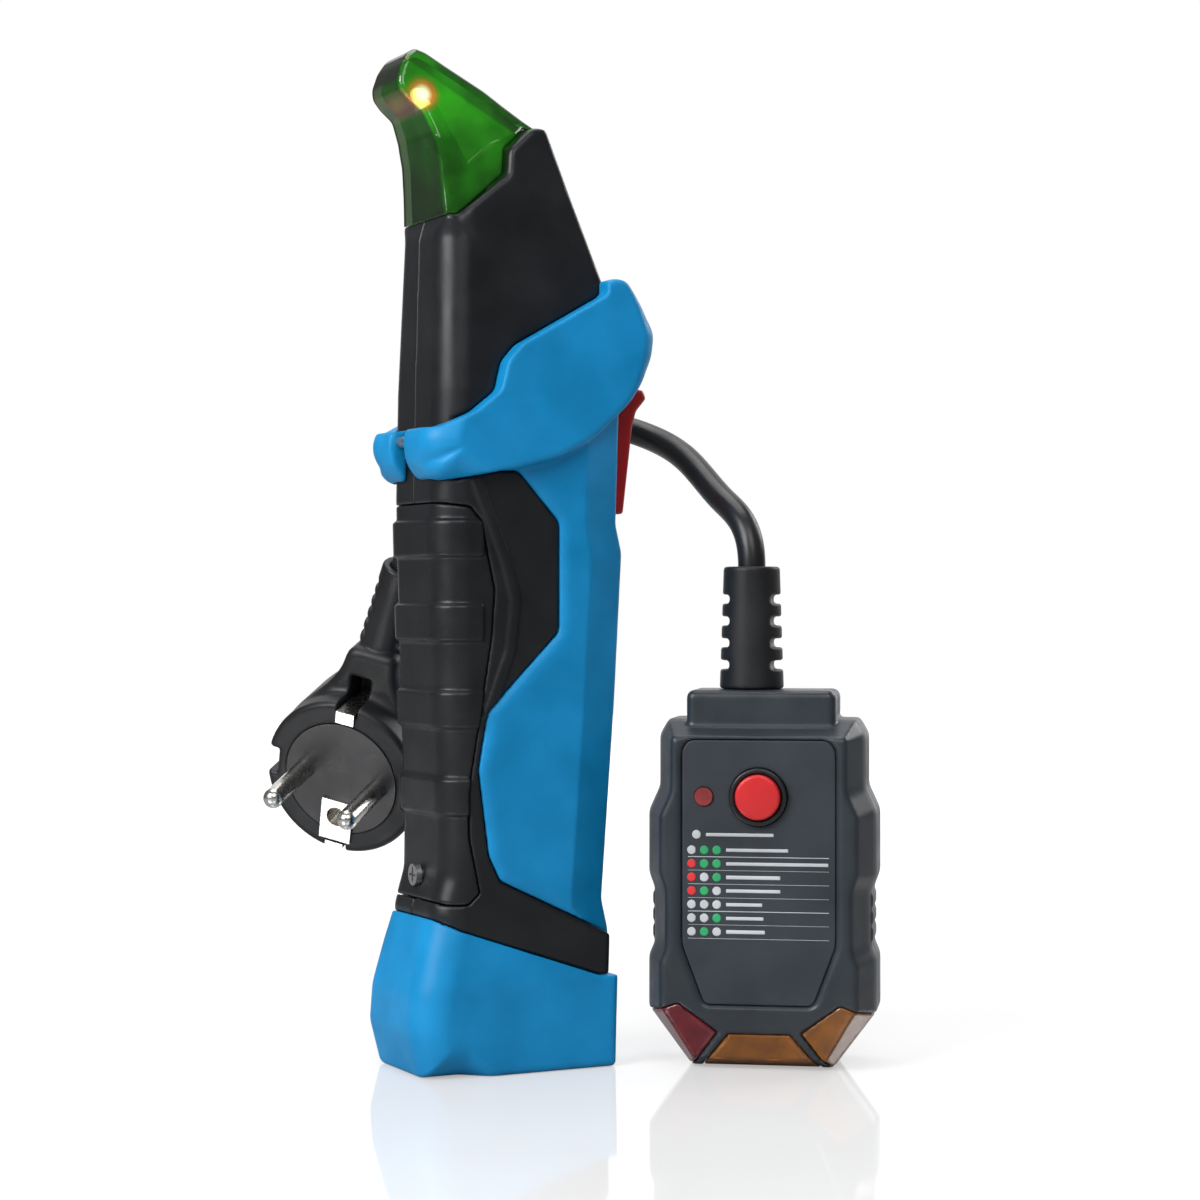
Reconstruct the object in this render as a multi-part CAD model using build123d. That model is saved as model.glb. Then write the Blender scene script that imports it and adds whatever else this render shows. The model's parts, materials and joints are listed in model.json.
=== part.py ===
"""Circuit breaker finder: a handheld receiver, and a plug-in transmitter on a short mains lead.

Millimetres, +Z up. The origin is the centre of the receiver's base. The receiver's mid plane is XZ: its palm
side faces -X, its trigger faces +X, and the side with the raised text panel area faces -Y.
"""

from build123d import *

import math
import os

# ---------------------------------------------------------------- driving dimensions
WALL = 2.0
LENS_WALL = 1.6
GAP = 0.25                      # clearance between a cover and the opening it closes
HANDLE_HALF = 15.0              # half thickness of the handle along Y
COLLAR_HALF = 19.5              # half thickness of the hand guard
FOOT_HALF = 17.0
BLUE_HALF = 15.8                # blue shells stand a little proud of the black ones
MANDREL_HALF = 13.9             # black core under the blue shells
CAVITY_HALF = 13.4
SCREW_R = 1.3
SCREW_HEAD_R = 2.4
SCREW_SEAT_Y = 9.8              # under the heads of the case screws
BATTERY = (17.5, 26.4, 48.5)    # 9 V block
BATTERY_LOW = (-13.9, 52.0)     # its lowest x and z
TRIGGER_PIVOT = (23.3, 127.2)
TRIGGER_PIN_R = 1.0
KEY_CENTRE = (15.6, 188.6)      # sensitivity key on the head's sloping front
KEY_LEAN = 21.5                 # degrees the head's front leans back from vertical
TX_PLACE = (54.6, -27.8)        # transmitter's centre on the floor
TX_TURN = -36.0                 # degrees about Z
TX_DEPTH = 28.0
TX_CORD_X = -2.8                # the lead leaves the transmitter a little off its centre
TX_SPLIT_Y = 0.0                # parting line between the transmitter's covers
TX_BUTTON_Z = 60.7
TX_BUTTON_R = 5.0
CORD_R = 3.1
CORE_R = 0.95
PIN_PITCH = 19.0                # two-pin mains plug
PIN_R = 2.4
PIN_LENGTH = 19.0
PLUG_R = 19.6
PLUG_FACE = (-17.2, 48.6, 61.4)
PLUG_PIN_LINE = (0.731, -0.676, -0.25)
PLUG_PIN_DIRECTION = (-0.698, -0.621, -0.36)

# ---------------------------------------------------------------- receiver outlines, as (x, z)
CORE = [(-19.5, 3), (-19.5, 36), (-17.2, 44), (-17.0, 58), (-18.0, 82), (-19.1, 126), (-18.6, 150),
        (-17.6, 184), (-16.2, 188.5), (-13.8, 188.2), (-1.7, 197.8), (-1.2, 203.5), (4.4, 208.7),
        (7.9, 208.7),
        (13.5, 194), (24.3, 167), (24.3, 120), (25.2, 112), (24.2, 82), (21.6, 37), (22.6, 30), (21.5, 3)]
HEAD = [(-40, 142.5), (-20, 141.5), (-12.5, 145), (-6.5, 149.8), (-4.8, 156.3), (-1.4, 160.1), (19.5, 171.8),
        (40, 176), (40, 240), (-40, 240)]
INSERT = [(-40, 129.8), (-20.4, 129.2), (-5.5, 132.2), (-0.6, 132.2), (9.4, 121.2), (9.4, 97.0), (-7.9, 79.5),
          (-10.1, 66.9), (-7.6, 48.0), (-4.8, 42.3), (40, 21), (40, 0), (-40, 0)]
FOOT_TOP = [(-40, 44), (-19.5, 34.4), (-14.4, 31.9), (19.3, 20.4), (40, 20.4)]
FOOT = [(-22.4, 0), (-25.0, 10), (-24.4, 18), (-21.8, 28), (-18.9, 37.6), (-16.6, 44), (30, 44), (24.0, 28),
        (23.7, 20), (23.2, 0)]
COLLAR = [(-17.5, 129.6), (-20.2, 130.6), (-22.8, 134.0), (-23.6, 139.4), (-20.0, 146.5), (-17.5, 151),
          (0, 165), (21, 175.5), (24.4, 175.3), (29.4, 170.0), (32.9, 164.0), (32.3, 158.4), (29.8, 152.6),
          (27.2, 149.5), (23.6, 146.0), (16.0, 139.2), (8.0, 135.2), (-0.6, 133.0), (-6.0, 131.5)]
HEAD_SIDE = [*HEAD[:7], (19.5, 240), (-40, 240)]
SPINE = [(-26, 10), (-26, 165), (27.0, 165), (25.6, 121), (27.1, 114.6), (25.3, 82), (22.0, 37), (23.6, 30),
         (23.4, 10)]
LENS = [(-16.4, 189.0), (-16.9, 194), (-17.5, 201.0), (-18.6, 206.0), (-20.6, 210.8), (-23.8, 213.2),
        (-25.6, 215.2), (-26.0, 217.4), (-25.0, 220.8), (-23.2, 223.8), (-20.8, 225.2), (-18.2, 224.6),
        (-4.3, 217.1), (4.3, 211.1), (7.9, 208.8), (4.2, 209.0), (-1.7, 203.7), (-2.2, 198.0), (-13.9, 188.6)]
LENS_THICKNESS = [(186, 12.3), (205, 11.0), (214, 8.8), (222, 7.6), (230, 7.0)]
COVER = [(-30, 41.5), (-16.7, 37.6), (-12.5, 37.6), (-9.8, 40.0), (-12.2, 52), (-12.4, 62), (-7.0, 95.3),
         (-6.2, 106.2), (-9.6, 121.4), (-12.0, 124.2), (-30, 126.6)]
CAVITY = [(-15.5, 6), (-15.5, 120), (-16.5, 130), (-16.8, 150), (-15.9, 182), (-10.0, 188.0), (-2.0, 192.0),
          (4.5, 204.0), (10.3, 195.5), (21.8, 166), (21.8, 113), (22.2, 108), (19.0, 37), (17.5, 6)]
LENS_CAVITY = [(-14.9, 186), (-16.0, 201.0), (-17.2, 206.8), (-19.6, 211.9), (-23.1, 214.7), (-24.4, 216.8),
               (-23.5, 220.2), (-22.2, 222.6), (-20.6, 223.5), (-18.4, 222.9), (-5.0, 215.5), (4.1, 209.2),
               (3.5, 205), (-2, 194)]
TRIGGER = [(30.3, 123.6), (31.8, 143.9), (32.5, 147.2), (34.2, 150.4), (33.2, 151.6), (30.8, 151.6),
           (28.8, 149.0), (26.0, 147.5), (25.2, 130.5), (21.6, 130.0), (21.0, 125.6), (23.0, 124.0),
           (27.0, 123.6)]
TIP_PASSAGE = [(-13.0, 183.0), (-9.5, 193.5), (-2.0, 199.0), (2.5, 195.0), (-2.0, 180.0)]
SCREW_PLACES = [(17.6, 44.0), (18.6, 104.0), (-13.2, 137.5), (12.0, 176.0)]
COVER_RIBS = (57.0, 76.0, 95.0, 113.5)
STRAP_BAR = (-20.6, 139.0)
TIP_BOARD_START = Vector(1.0, 0, 184.0)
TIP_BOARD_DIRECTION = Vector(-0.515, 0, 0.857)
TIP_BOARD_LENGTH = 34.0
BOARD_X = (11.0, 12.6)

# ---------------------------------------------------------------- transmitter, its front facing -Y
TX_OUTLINE = [(16.0, 0), (25.6, 12.8), (25.6, 24.5), (24.3, 27.5), (24.3, 39.5), (25.6, 43), (25.6, 57),
              (23.1, 62.5), (23.1, 74), (21.0, 77.6)]
TX_LABEL = [(12.0, 14.8), (17.0, 28.0), (17.0, 71.0), (15.4, 73.2)]
TX_SIDE_WINDOW = [(9.3, 8.6), (17.9, 15.0), (24.4, 12.6), (40, 8), (30, -8), (14.6, 1.4)]
TX_BOTTOM_WINDOW = [(-13.0, 0.6), (-6.8, 8.2), (6.8, 8.2), (13.0, 0.6), (13.0, -5), (-13.0, -5)]
TX_SCREWS = [(17.5, 66.0), (-17.5, 66.0), (19.0, 24.0), (-19.0, 24.0)]
CORD_ENTRY_Z = 84.0
RELIEF_TOP_Z = 111.5
CLAMP_X, CLAMP_Z = (TX_CORD_X - 5.5, TX_CORD_X + 5.5), 76.6
TX_HERE = Pos(*TX_PLACE, 0) * Rot(0, 0, TX_TURN)

# ---------------------------------------------------------------- plug: pins point +Z, the lead leaves +Y
PLUG_HERE = Plane(PLUG_FACE, x_dir=PLUG_PIN_LINE, z_dir=PLUG_PIN_DIRECTION)
PLUG_BACK = -23.0
PLUG_NECK_Z = -15.0             # the lead's axis, behind the plug's face
PLUG_NECK_Y = 31.0
PLUG_END_Y = 51.5
CLIP_Y = 17.0
NECK_TILT = math.radians(8.0)   # how far the flexible neck leans sideways


# ---------------------------------------------------------------- helpers
def side_prism(points, low_y, high_y, radius=0.0, grow=0.0):
    """An XZ outline, grown all round and its corners rounded to radius, between two Y values."""
    outline = FilletPolyline(*points, radius=radius, close=True) if radius else Polyline(*points, close=True)
    sketch = offset(make_face(outline), grow) if grow else make_face(outline)
    face = Plane((0, high_y, 0), x_dir=(1, 0, 0), z_dir=(0, -1, 0)) * sketch
    return extrude(face, high_y - low_y)


def bevelled_prism(points, half, bevel, slope=45):
    """An XZ outline made thick along Y, whose side faces are bevelled all round."""
    prism = side_prism(points, -half + bevel, half - bevel)
    for side in (-1, 1):
        plane = Plane((0, side * (half - bevel), 0), x_dir=(1, 0, 0), z_dir=(0, side, 0))
        face = plane * make_face(Polyline(*[(x, -side * z) for x, z in points], close=True))
        prism += extrude(face, bevel, taper=slope)
    return prism


def thickness_prism(half_by_z, low_x=-60, high_x=60):
    """A block as seen along X, whose half thickness is given at each height."""
    right = [(half, z) for z, half in half_by_z]
    left = [(-half, z) for z, half in reversed(half_by_z)]
    end = Plane((low_x, 0, 0), x_dir=(0, 1, 0), z_dir=(1, 0, 0))
    face = end * make_face(Polyline(*right, *left, close=True))
    return extrude(face, high_x - low_x)


def plan_prism(low_x, high_x, half, low_radius, high_radius):
    """A tall block whose plan has rounded corners, of one radius towards -X and another towards +X."""
    corners = [(low_x, -half, low_radius), (high_x, -half, high_radius), (high_x, half, high_radius),
               (low_x, half, low_radius)]
    plan = make_face(Polyline(*[(x, y) for x, y, _ in corners], close=True))
    for x, y, radius in corners:
        corner = plan.vertices().sort_by_distance((x, y, 0))[0]
        plan = fillet(corner, radius)
    return extrude(plan, 260)


def block(x, y, z):
    """A box from three (low, high) pairs."""
    centre = [(low + high) / 2 for low, high in (x, y, z)]
    return Pos(*centre) * Box(x[1] - x[0], y[1] - y[0], z[1] - z[0])


def rod(start, direction, radius, length):
    """A cylinder from start along direction."""
    standing = (Align.CENTER, Align.CENTER, Align.MIN)
    return Plane(start, z_dir=direction) * Cylinder(radius, length, align=standing)


def cone_rod(start, direction, low_radius, high_radius, length):
    return Plane(start, z_dir=direction) * Cone(
        low_radius, high_radius, length, align=(Align.CENTER, Align.CENTER, Align.MIN))


def screw(start, direction, length, radius=SCREW_R, head_r=SCREW_HEAD_R, head=1.8):
    """A pan-head screw. start is under the head, and direction runs along the shank."""
    back = Vector(*direction).normalized() * -head
    cap = rod(Vector(*start) + back, direction, head_r, head)
    top = Plane(Vector(*start) + back, z_dir=direction)
    slots = [top * (Rot(0, 0, turn) * Box(2 * head_r * 0.7, 0.6, 1.6)) for turn in (0, 90)]
    return cap + rod(start, direction, radius, length) - slots[0] - slots[1]


def coil(start, direction, radius, length, turns, wire=0.3):
    """A compression spring."""
    path = Helix(pitch=length / turns, height=length, radius=radius)
    section = Plane(origin=path @ 0, z_dir=path % 0) * Circle(wire)
    return Plane(start, z_dir=direction) * sweep(section, path=path)


def joined(*shapes):
    """Separate solids kept together as one node."""
    return Compound(children=[solid for shape in shapes for solid in shape.solids()])


PARTS = {}


def keep(name, shape, place=None):
    """Store a node, moved to its place in the assembly when it was drawn in a frame of its own."""
    PARTS[name] = place * shape if place else shape


def front_chamfer(half):
    """A slab about the mid plane, its two corners towards +X planed off to follow the spine's facets."""
    corner_x, front_x, planed = 15.9, 40.0, 0.4
    right = [(-60, half), (corner_x, half), (front_x, half - planed * (front_x - corner_x))]
    plan = make_face(Polyline(*right, *[(x, -y) for x, y in reversed(right)], close=True))
    return extrude(plan, 240)


def receiver_case():
    """The black core of the receiver as a whole, then split into two halves at the mid plane."""
    thickness = thickness_prism([(3, HANDLE_HALF + 0.6), (40, HANDLE_HALF), (150, HANDLE_HALF + 0.4),
                                 (186, 13.6), (210, 12.2)])
    plan = plan_prism(-19.8, 26, HANDLE_HALF + 0.6, 7.0, 1.5) & block((-60, 60), (-20, 20), (0, 150))
    plan += plan_prism(-18.9, 26, HANDLE_HALF - 0.6, 8.0, 1.5) & block((-60, 60), (-20, 20), (150, 240))
    core = side_prism(CORE, -20, 20, 0.8) & thickness & plan
    mandrel = core & front_chamfer(MANDREL_HALF)
    visible = (core & side_prism(HEAD, -20, 20)) + (core & side_prism(INSERT, -20, 20))
    foot_socket = side_prism([*FOOT_TOP, (40, -5), (-40, -5)], -30, 30)
    plug_in = mandrel & foot_socket & block((-17.5, 19.5), (-13, 13), (3, 60))
    envelope = mandrel + visible - foot_socket + plug_in
    cavity_thickness = thickness_prism([(0, 11.0), (32, 11.0), (34, CAVITY_HALF), (150, CAVITY_HALF),
                                        (186, 11.4), (210, 10.0)])
    cavity = side_prism(CAVITY, -20, 20) & cavity_thickness & front_chamfer(MANDREL_HALF - 0.6)
    shell = envelope - cavity
    shell -= side_prism(COVER, -20, 20, grow=GAP) - block(
        (-14.2, 60), (-CAVITY_HALF, CAVITY_HALF), (30, 130))
    shell -= block((-30, -10), (-CAVITY_HALF, CAVITY_HALF), (47.5, 116))
    shell -= rod((-30, 0, 43.2), (1, 0, 0), 1.75, 18)
    shell -= block((20, 40), (-5.2, 5.2), (123.0, 153.0))
    key = Plane((KEY_CENTRE[0], 0, KEY_CENTRE[1]), x_dir=(0, 1, 0), z_dir=normal_of_key())
    shell -= key * Box(6.6, 12.6, 16)
    shell -= side_prism(TIP_PASSAGE, -7.5, 7.5)
    shell -= rod((TRIGGER_PIVOT[0], -12, TRIGGER_PIVOT[1]), (0, 1, 0), TRIGGER_PIN_R + 0.02, 24)
    for x, z in SCREW_PLACES:
        boss = rod((x, -CAVITY_HALF - 0.3, z), (0, 1, 0), 3.0, 2 * CAVITY_HALF + 0.6)
        shell += boss & front_chamfer(MANDREL_HALF)
        shell -= rod((x, -9.5, z), (0, 1, 0), SCREW_R + 0.05, 30)
        shell -= rod((x, SCREW_SEAT_Y, z), (0, 1, 0), SCREW_HEAD_R + 0.2, 10)
    keep("right_case_half", shell & block((-60, 60), (-40, 0), (-5, 240)))
    keep("left_case_half", shell & block((-60, 60), (0, 40), (-5, 240)))
    return envelope


def normal_of_key():
    lean = math.radians(KEY_LEAN)
    return (math.cos(lean), 0, math.sin(lean))


def receiver_shells(envelope):
    """The blue hand guard and spine halves, the foot, the clear tip and the battery cover."""
    guard = bevelled_prism(COLLAR, COLLAR_HALF, 2.5) & plan_prism(-23.6, 33.2, COLLAR_HALF, 9.0, 6.0)
    guard -= block((-40, -17.8), (-3.6, 3.6), (120, 160))
    guard -= side_prism(HEAD_SIDE, -30, 30)
    spine = bevelled_prism(SPINE, BLUE_HALF, 4.0, 68) & block((-12, 60), (-20, 20), (0, 240))
    above_foot = side_prism([(x, z + 7.6) for x, z in FOOT_TOP[1:]] + [(40, 240), (-40, 240)], -40, 40)
    below_guard = [(-30, 25), (-30, 136), (0, 141), (24, 151), (40, 151), (40, 25)]
    blue = guard + (spine & above_foot & side_prism(below_guard, -40, 40))
    blue -= envelope
    blue -= side_prism(INSERT, -40, 40) - block((18, 40), (-40, 40), (28.0, 150))
    blue -= block((20, 40), (-5.2, 5.2), (123.0, 153.0))
    blue -= rod((STRAP_BAR[0], -6, STRAP_BAR[1]), (0, 1, 0), 1.22, 12)
    keep("strap_bar", rod((STRAP_BAR[0], -6, STRAP_BAR[1]), (0, 1, 0), 1.2, 12))
    keep("right_blue_shell", blue & block((-60, 60), (-40, 0), (0, 240)))
    keep("left_blue_shell", blue & block((-60, 60), (0, 40), (0, 240)))

    foot = side_prism(FOOT, -20, 20, 0.8)
    foot &= thickness_prism([(0, FOOT_HALF), (20, FOOT_HALF), (44, HANDLE_HALF)])
    foot &= side_prism([*FOOT_TOP, (40, -5), (-40, -5)], -30, 30)
    foot &= plan_prism(-25.0, 24.2, FOOT_HALF, 9.0, 2.0)
    foot -= block((-17.7, 19.7), (-13.2, 13.2), (2.4, 60))
    keep("foot_cap", foot)

    lens = side_prism(LENS, -20, 20, 0.8) & thickness_prism(LENS_THICKNESS)
    lens_half = [(z, half - LENS_WALL) for z, half in LENS_THICKNESS]
    lens_cavity = side_prism(LENS_CAVITY, -20, 20) & thickness_prism(lens_half)
    keep("clear_tip", lens - lens_cavity - envelope)

    cover = side_prism(COVER, -HANDLE_HALF - 0.2, HANDLE_HALF + 0.2) & side_prism(CORE, -20, 20, 0.8)
    cover &= plan_prism(-19.8, 26, HANDLE_HALF + 0.2, 7.0, 1.5)
    hollow = block((-16.4, 60), (-CAVITY_HALF - 0.25, CAVITY_HALF + 0.25), (30, 130))
    cover -= hollow
    for low_z in COVER_RIBS:
        rib = block((-20.2, -9.0), (-HANDLE_HALF - 0.9, HANDLE_HALF + 0.9), (low_z, low_z + 8.0))
        rib &= plan_prism(-20.2, 26, HANDLE_HALF + 0.9, 7.6, 1.5)
        cover += (rib & side_prism(COVER, -20, 20)) - hollow
    cover += block((-16.6, -12.6), (-6, 6), (112.0, 113.6))
    cover -= rod((-30, 0, 43.2), (1, 0, 0), 1.45, 18)
    cover -= rod((-30, 0, 43.2), (1, 0, 0), 2.6, 12.2)
    keep("battery_cover", cover)
    keep("battery_cover_screw", screw((-17.9, 0, 43.2), (1, 0, 0), 7.0, 1.2, 2.4, 1.4))


def on_tip_board(along, palm_side):
    """A point at a distance along the tip board, offset towards the palm side."""
    return TIP_BOARD_START + TIP_BOARD_DIRECTION * along + Vector(-0.857, 0, -0.515) * palm_side


def tact_switch(base, direction, height):
    """A 6 mm push switch standing on base, its plunger along direction."""
    place = Plane(base, z_dir=direction)
    body = place * Box(6, 6, 3.4, align=(Align.CENTER, Align.CENTER, Align.MIN))
    return body + rod(base, direction, 1.7, height)


def receiver_controls():
    """Trigger, its pin, spring and switch, and the sensitivity key on the head."""
    x, z = TRIGGER_PIVOT
    trigger = side_prism(TRIGGER, -5.0, 5.0, 0.5)
    trigger += block((23.4, 26), (-1.5, 1.5), (144.5, 147.0))
    trigger -= rod((x, -12, z), (0, 1, 0), TRIGGER_PIN_R + 0.05, 24)
    keep("trigger", trigger)
    keep("trigger_pin", rod((x, -10.6, z), (0, 1, 0), TRIGGER_PIN_R, 21.2))
    keep("trigger_spring", coil((13.0, 0, 138.0), (1, 0, 0), 2.4, 12.0, 6))
    keep("trigger_switch", tact_switch((BOARD_X[1], 0, 145.7), (1, 0, 0), 8.6))

    normal = Vector(*normal_of_key())
    centre = Vector(KEY_CENTRE[0], 0, KEY_CENTRE[1])
    face = Plane(centre, x_dir=(0, 1, 0), z_dir=normal)
    key = face * (Pos(0, 0, -1.05) * Box(6.0, 12.0, 3.9))
    key += face * (Pos(0, 0, -3.4) * Box(8.0, 13.4, 0.8))
    keep("sensitivity_key", key)
    board_place = Plane(centre - normal * 10.2, x_dir=(0, 1, 0), z_dir=normal)
    keep("key_board", board_place * Box(14, 12, 1.2))
    keep("key_switch", tact_switch(centre - normal * 9.6, normal, 4.9))


def receiver_insides():
    """Battery, its tray and leads, and the circuit boards with what they carry."""
    low_x, low_z = BATTERY_LOW
    high_x, high_z = low_x + BATTERY[0], low_z + BATTERY[2]
    half = BATTERY[1] / 2
    cell = block((low_x, high_x), (-half, half), (low_z, high_z - 2.4))
    middle_x = (low_x + high_x) / 2
    cell += block((low_x + 0.6, high_x - 0.6), (-half + 0.6, half - 0.6), (high_z - 2.4, high_z - 2.0))
    terminals = [rod((middle_x, y, high_z - 2.0), (0, 0, 1), r, 2.0) for y, r in ((-6.35, 2.9), (6.35, 3.6))]
    keep("battery", cell + terminals[0] + terminals[1])
    snap = block((middle_x - 6.5, middle_x + 6.5), (-12.5, 12.5), (high_z + 0.05, high_z + 3.2))
    keep("battery_snap", snap)
    leads = [rod((middle_x + 6.5, y, high_z + 2.0), (1, 0, 0), 0.65, 3.6) for y in (-2.0, 2.0)]
    keep("battery_leads", joined(*leads))
    tray = block((4.4, 5.6), (-13.2, 13.2), (49.0, 116.0)) + block((-13.9, 4.4), (-13.2, 13.2), (49.0, 50.6))
    tray += block((-13.9, 4.4), (-13.2, 13.2), (114.8, 116.0))
    tray -= block((4, 6), (-4, 4), (100.5, 105))
    keep("battery_tray", tray)

    waist = block((10, 14), (-13, 13), (98, 110)) - block((10, 14), (-9, 9), (98, 110))
    board = block(BOARD_X, (-12, 12), (56, 164)) - waist
    keep("main_board", board - rod((5, 0, 160), (1, 0, 0), 1.6, 10))
    face_x = BOARD_X[1]
    chips = [block((face_x, face_x + 1.6), (y, y + w), (z, z + h)) for y, z, w, h in (
        (-4, 84, 8, 8), (-8, 112, 5, 5.2), (1, 118, 5, 5.2), (-9, 128, 4, 9))]
    keep("board_chips", joined(*chips))
    passives = [block((face_x, face_x + 0.8), (y, y + 2.0), (z, z + 1.25)) for y in (-10, 5, 8)
                for z in (78, 82, 94, 97, 124, 152, 156)]
    keep("board_passives", joined(*passives))
    keep("buzzer", rod((face_x, 0, 68), (1, 0, 0), 6.0, 5.2) - rod((face_x + 4.4, 0, 68), (1, 0, 0), 1.0, 2))

    length = TIP_BOARD_LENGTH
    board = Plane(on_tip_board(0, 0), x_dir=(0, 1, 0), z_dir=TIP_BOARD_DIRECTION) * Box(
        11, 1.2, length, align=(Align.CENTER, Align.CENTER, Align.MIN))
    keep("tip_board", board)
    core = rod(on_tip_board(11, 3.15), TIP_BOARD_DIRECTION, 1.5, 15)
    keep("ferrite_rod", core)
    winding = rod(on_tip_board(13.5, 3.15), TIP_BOARD_DIRECTION, 2.5, 10) - rod(
        on_tip_board(13, 3.15), TIP_BOARD_DIRECTION, 1.52, 12)
    keep("sensor_coil", winding)
    led = rod(on_tip_board(length + 0.2, 0), TIP_BOARD_DIRECTION, 1.9, 1.0)
    led += rod(on_tip_board(length + 1.2, 0), TIP_BOARD_DIRECTION, 1.5, 2.2)
    led += Pos(*on_tip_board(length + 3.4, 0)) * Sphere(1.5)
    keep("tip_led", led)
    tip_chips = []
    for along, y, width, height in ((16, -2.0, 5, 5), (24, 2.2, 3, 3), (24, -2.4, 1.5, 3)):
        place = Plane(on_tip_board(along, -1.25), x_dir=(0, 1, 0), z_dir=TIP_BOARD_DIRECTION)
        tip_chips.append(place * (Pos(y, 0, 0) * Box(width, 1.2, height)))
    keep("tip_board_chips", joined(*tip_chips))
    keep("case_screws", joined(*[screw((x, SCREW_SEAT_Y, z), (0, -1, 0), 18.5) for x, z in SCREW_PLACES]))


# ---------------------------------------------------------------- transmitter
def mirrored_outline(right_side):
    """A closed outline from its right-hand points, bottom to top."""
    return right_side + [(-x, z) for x, z in reversed(right_side)]


def tx_envelope(inset=0.0):
    """The transmitter's closed outer shape, or that shape moved inwards by inset."""
    front, middle, back = -TX_DEPTH / 2 + inset, -5.5 + 0.3 * inset, TX_DEPTH / 2 - inset
    slab = side_prism(mirrored_outline(TX_OUTLINE), middle, back - 4, grow=-inset)
    rear_face = Plane((0, back - 4, 0), x_dir=(1, 0, 0), z_dir=(0, 1, 0)) * offset(
        make_face(Polyline(*[(x, -z) for x, z in mirrored_outline(TX_OUTLINE)], close=True)), -inset)
    slab += extrude(rear_face, 4, taper=22)
    rim_face = Plane((0, middle, 0), x_dir=(1, 0, 0), z_dir=(0, -1, 0)) * offset(
        make_face(Polyline(*mirrored_outline(TX_OUTLINE), close=True)), -0.2 - inset)
    slab += extrude(rim_face, middle - front, taper=24)
    boss = block((-16.6 + inset, 16.6 - inset), (-9 + inset, 9 - inset), (70, CORD_ENTRY_Z - inset))
    return slab + boss


def transmitter_covers():
    outer, inner = tx_envelope(), tx_envelope(WALL)
    shell = outer - inner
    red = side_prism([(-x, z) for x, z in TX_SIDE_WINDOW], -20, 4)
    amber_side = side_prism(TX_SIDE_WINDOW, -20, 4)
    amber_bottom = side_prism(TX_BOTTOM_WINDOW, -20, 4)
    keep("red_window", shell & red, TX_HERE)
    keep("amber_side_window", shell & amber_side, TX_HERE)
    keep("amber_bottom_window", shell & amber_bottom, TX_HERE)
    shell -= red + amber_side + amber_bottom
    front_y = -TX_DEPTH / 2
    shell += block((-13.2, 13.2), (front_y + 1.6, front_y + 3.0), (20, 70)) & outer
    shell -= rod((0, -20, TX_BUTTON_Z), (0, 1, 0), 6.4, 10)
    shell -= rod((-12.1, -20, TX_BUTTON_Z), (0, 1, 0), 2.05, 10)
    shell -= rod((TX_CORD_X, 0, 60), (0, 0, 1), CORD_R + 0.3, 40)
    rib = [(23.9, 28.2), (24.7, 29.0), (24.7, 30.6), (23.9, 31.4)]
    for side in (-1, 1):
        for lift in (0, 3.7, 7.4):
            shell += side_prism([(side * x, z + lift) for x, z in rib], -4.5, 8.5)
    for x in CLAMP_X:
        shell += block((x - 1.9, x + 1.9), (0, 8), (CLAMP_Z - 2.6, CLAMP_Z + 2.6))
        shell -= rod((x, -0.1, CLAMP_Z), (0, 1, 0), 1.02, 3)
    for x, z in TX_SCREWS:
        shell += rod((x, -14.0, z), (0, 1, 0), 2.8, 28) & outer
        shell -= rod((x, -6.5, z), (0, 1, 0), SCREW_R + 0.05, 40)
        shell -= rod((x, TX_DEPTH / 2 - 3.0, z), (0, 1, 0), SCREW_HEAD_R + 0.2, 10)
    shell -= side_prism(mirrored_outline(TX_LABEL), front_y - 5, front_y + 0.8, grow=0.1)
    keep("transmitter_front_cover", shell & block((-60, 60), (-40, TX_SPLIT_Y), (-5, 120)), TX_HERE)
    keep("transmitter_rear_cover", shell & block((-60, 60), (TX_SPLIT_Y, 40), (-5, 120)), TX_HERE)
    screws = [screw((x, TX_DEPTH / 2 - 3.0, z), (0, -1, 0), 16) for x, z in TX_SCREWS]
    keep("transmitter_screws", joined(*screws), TX_HERE)

    label = side_prism(mirrored_outline(TX_LABEL), front_y + 0.05, front_y + 0.75, 0.4)
    label -= rod((0, -20, TX_BUTTON_Z), (0, 1, 0), 6.4, 10)
    label -= rod((-12.1, -20, TX_BUTTON_Z), (0, 1, 0), 2.05, 10)
    keep("legend_plate", label, TX_HERE)
    bezel = rod((0, front_y - 0.9, TX_BUTTON_Z), (0, 1, 0), 6.35, 3.8)
    bezel -= rod((0, -20, TX_BUTTON_Z), (0, 1, 0), TX_BUTTON_R + 0.15, 20)
    keep("button_bezel", bezel, TX_HERE)


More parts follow.
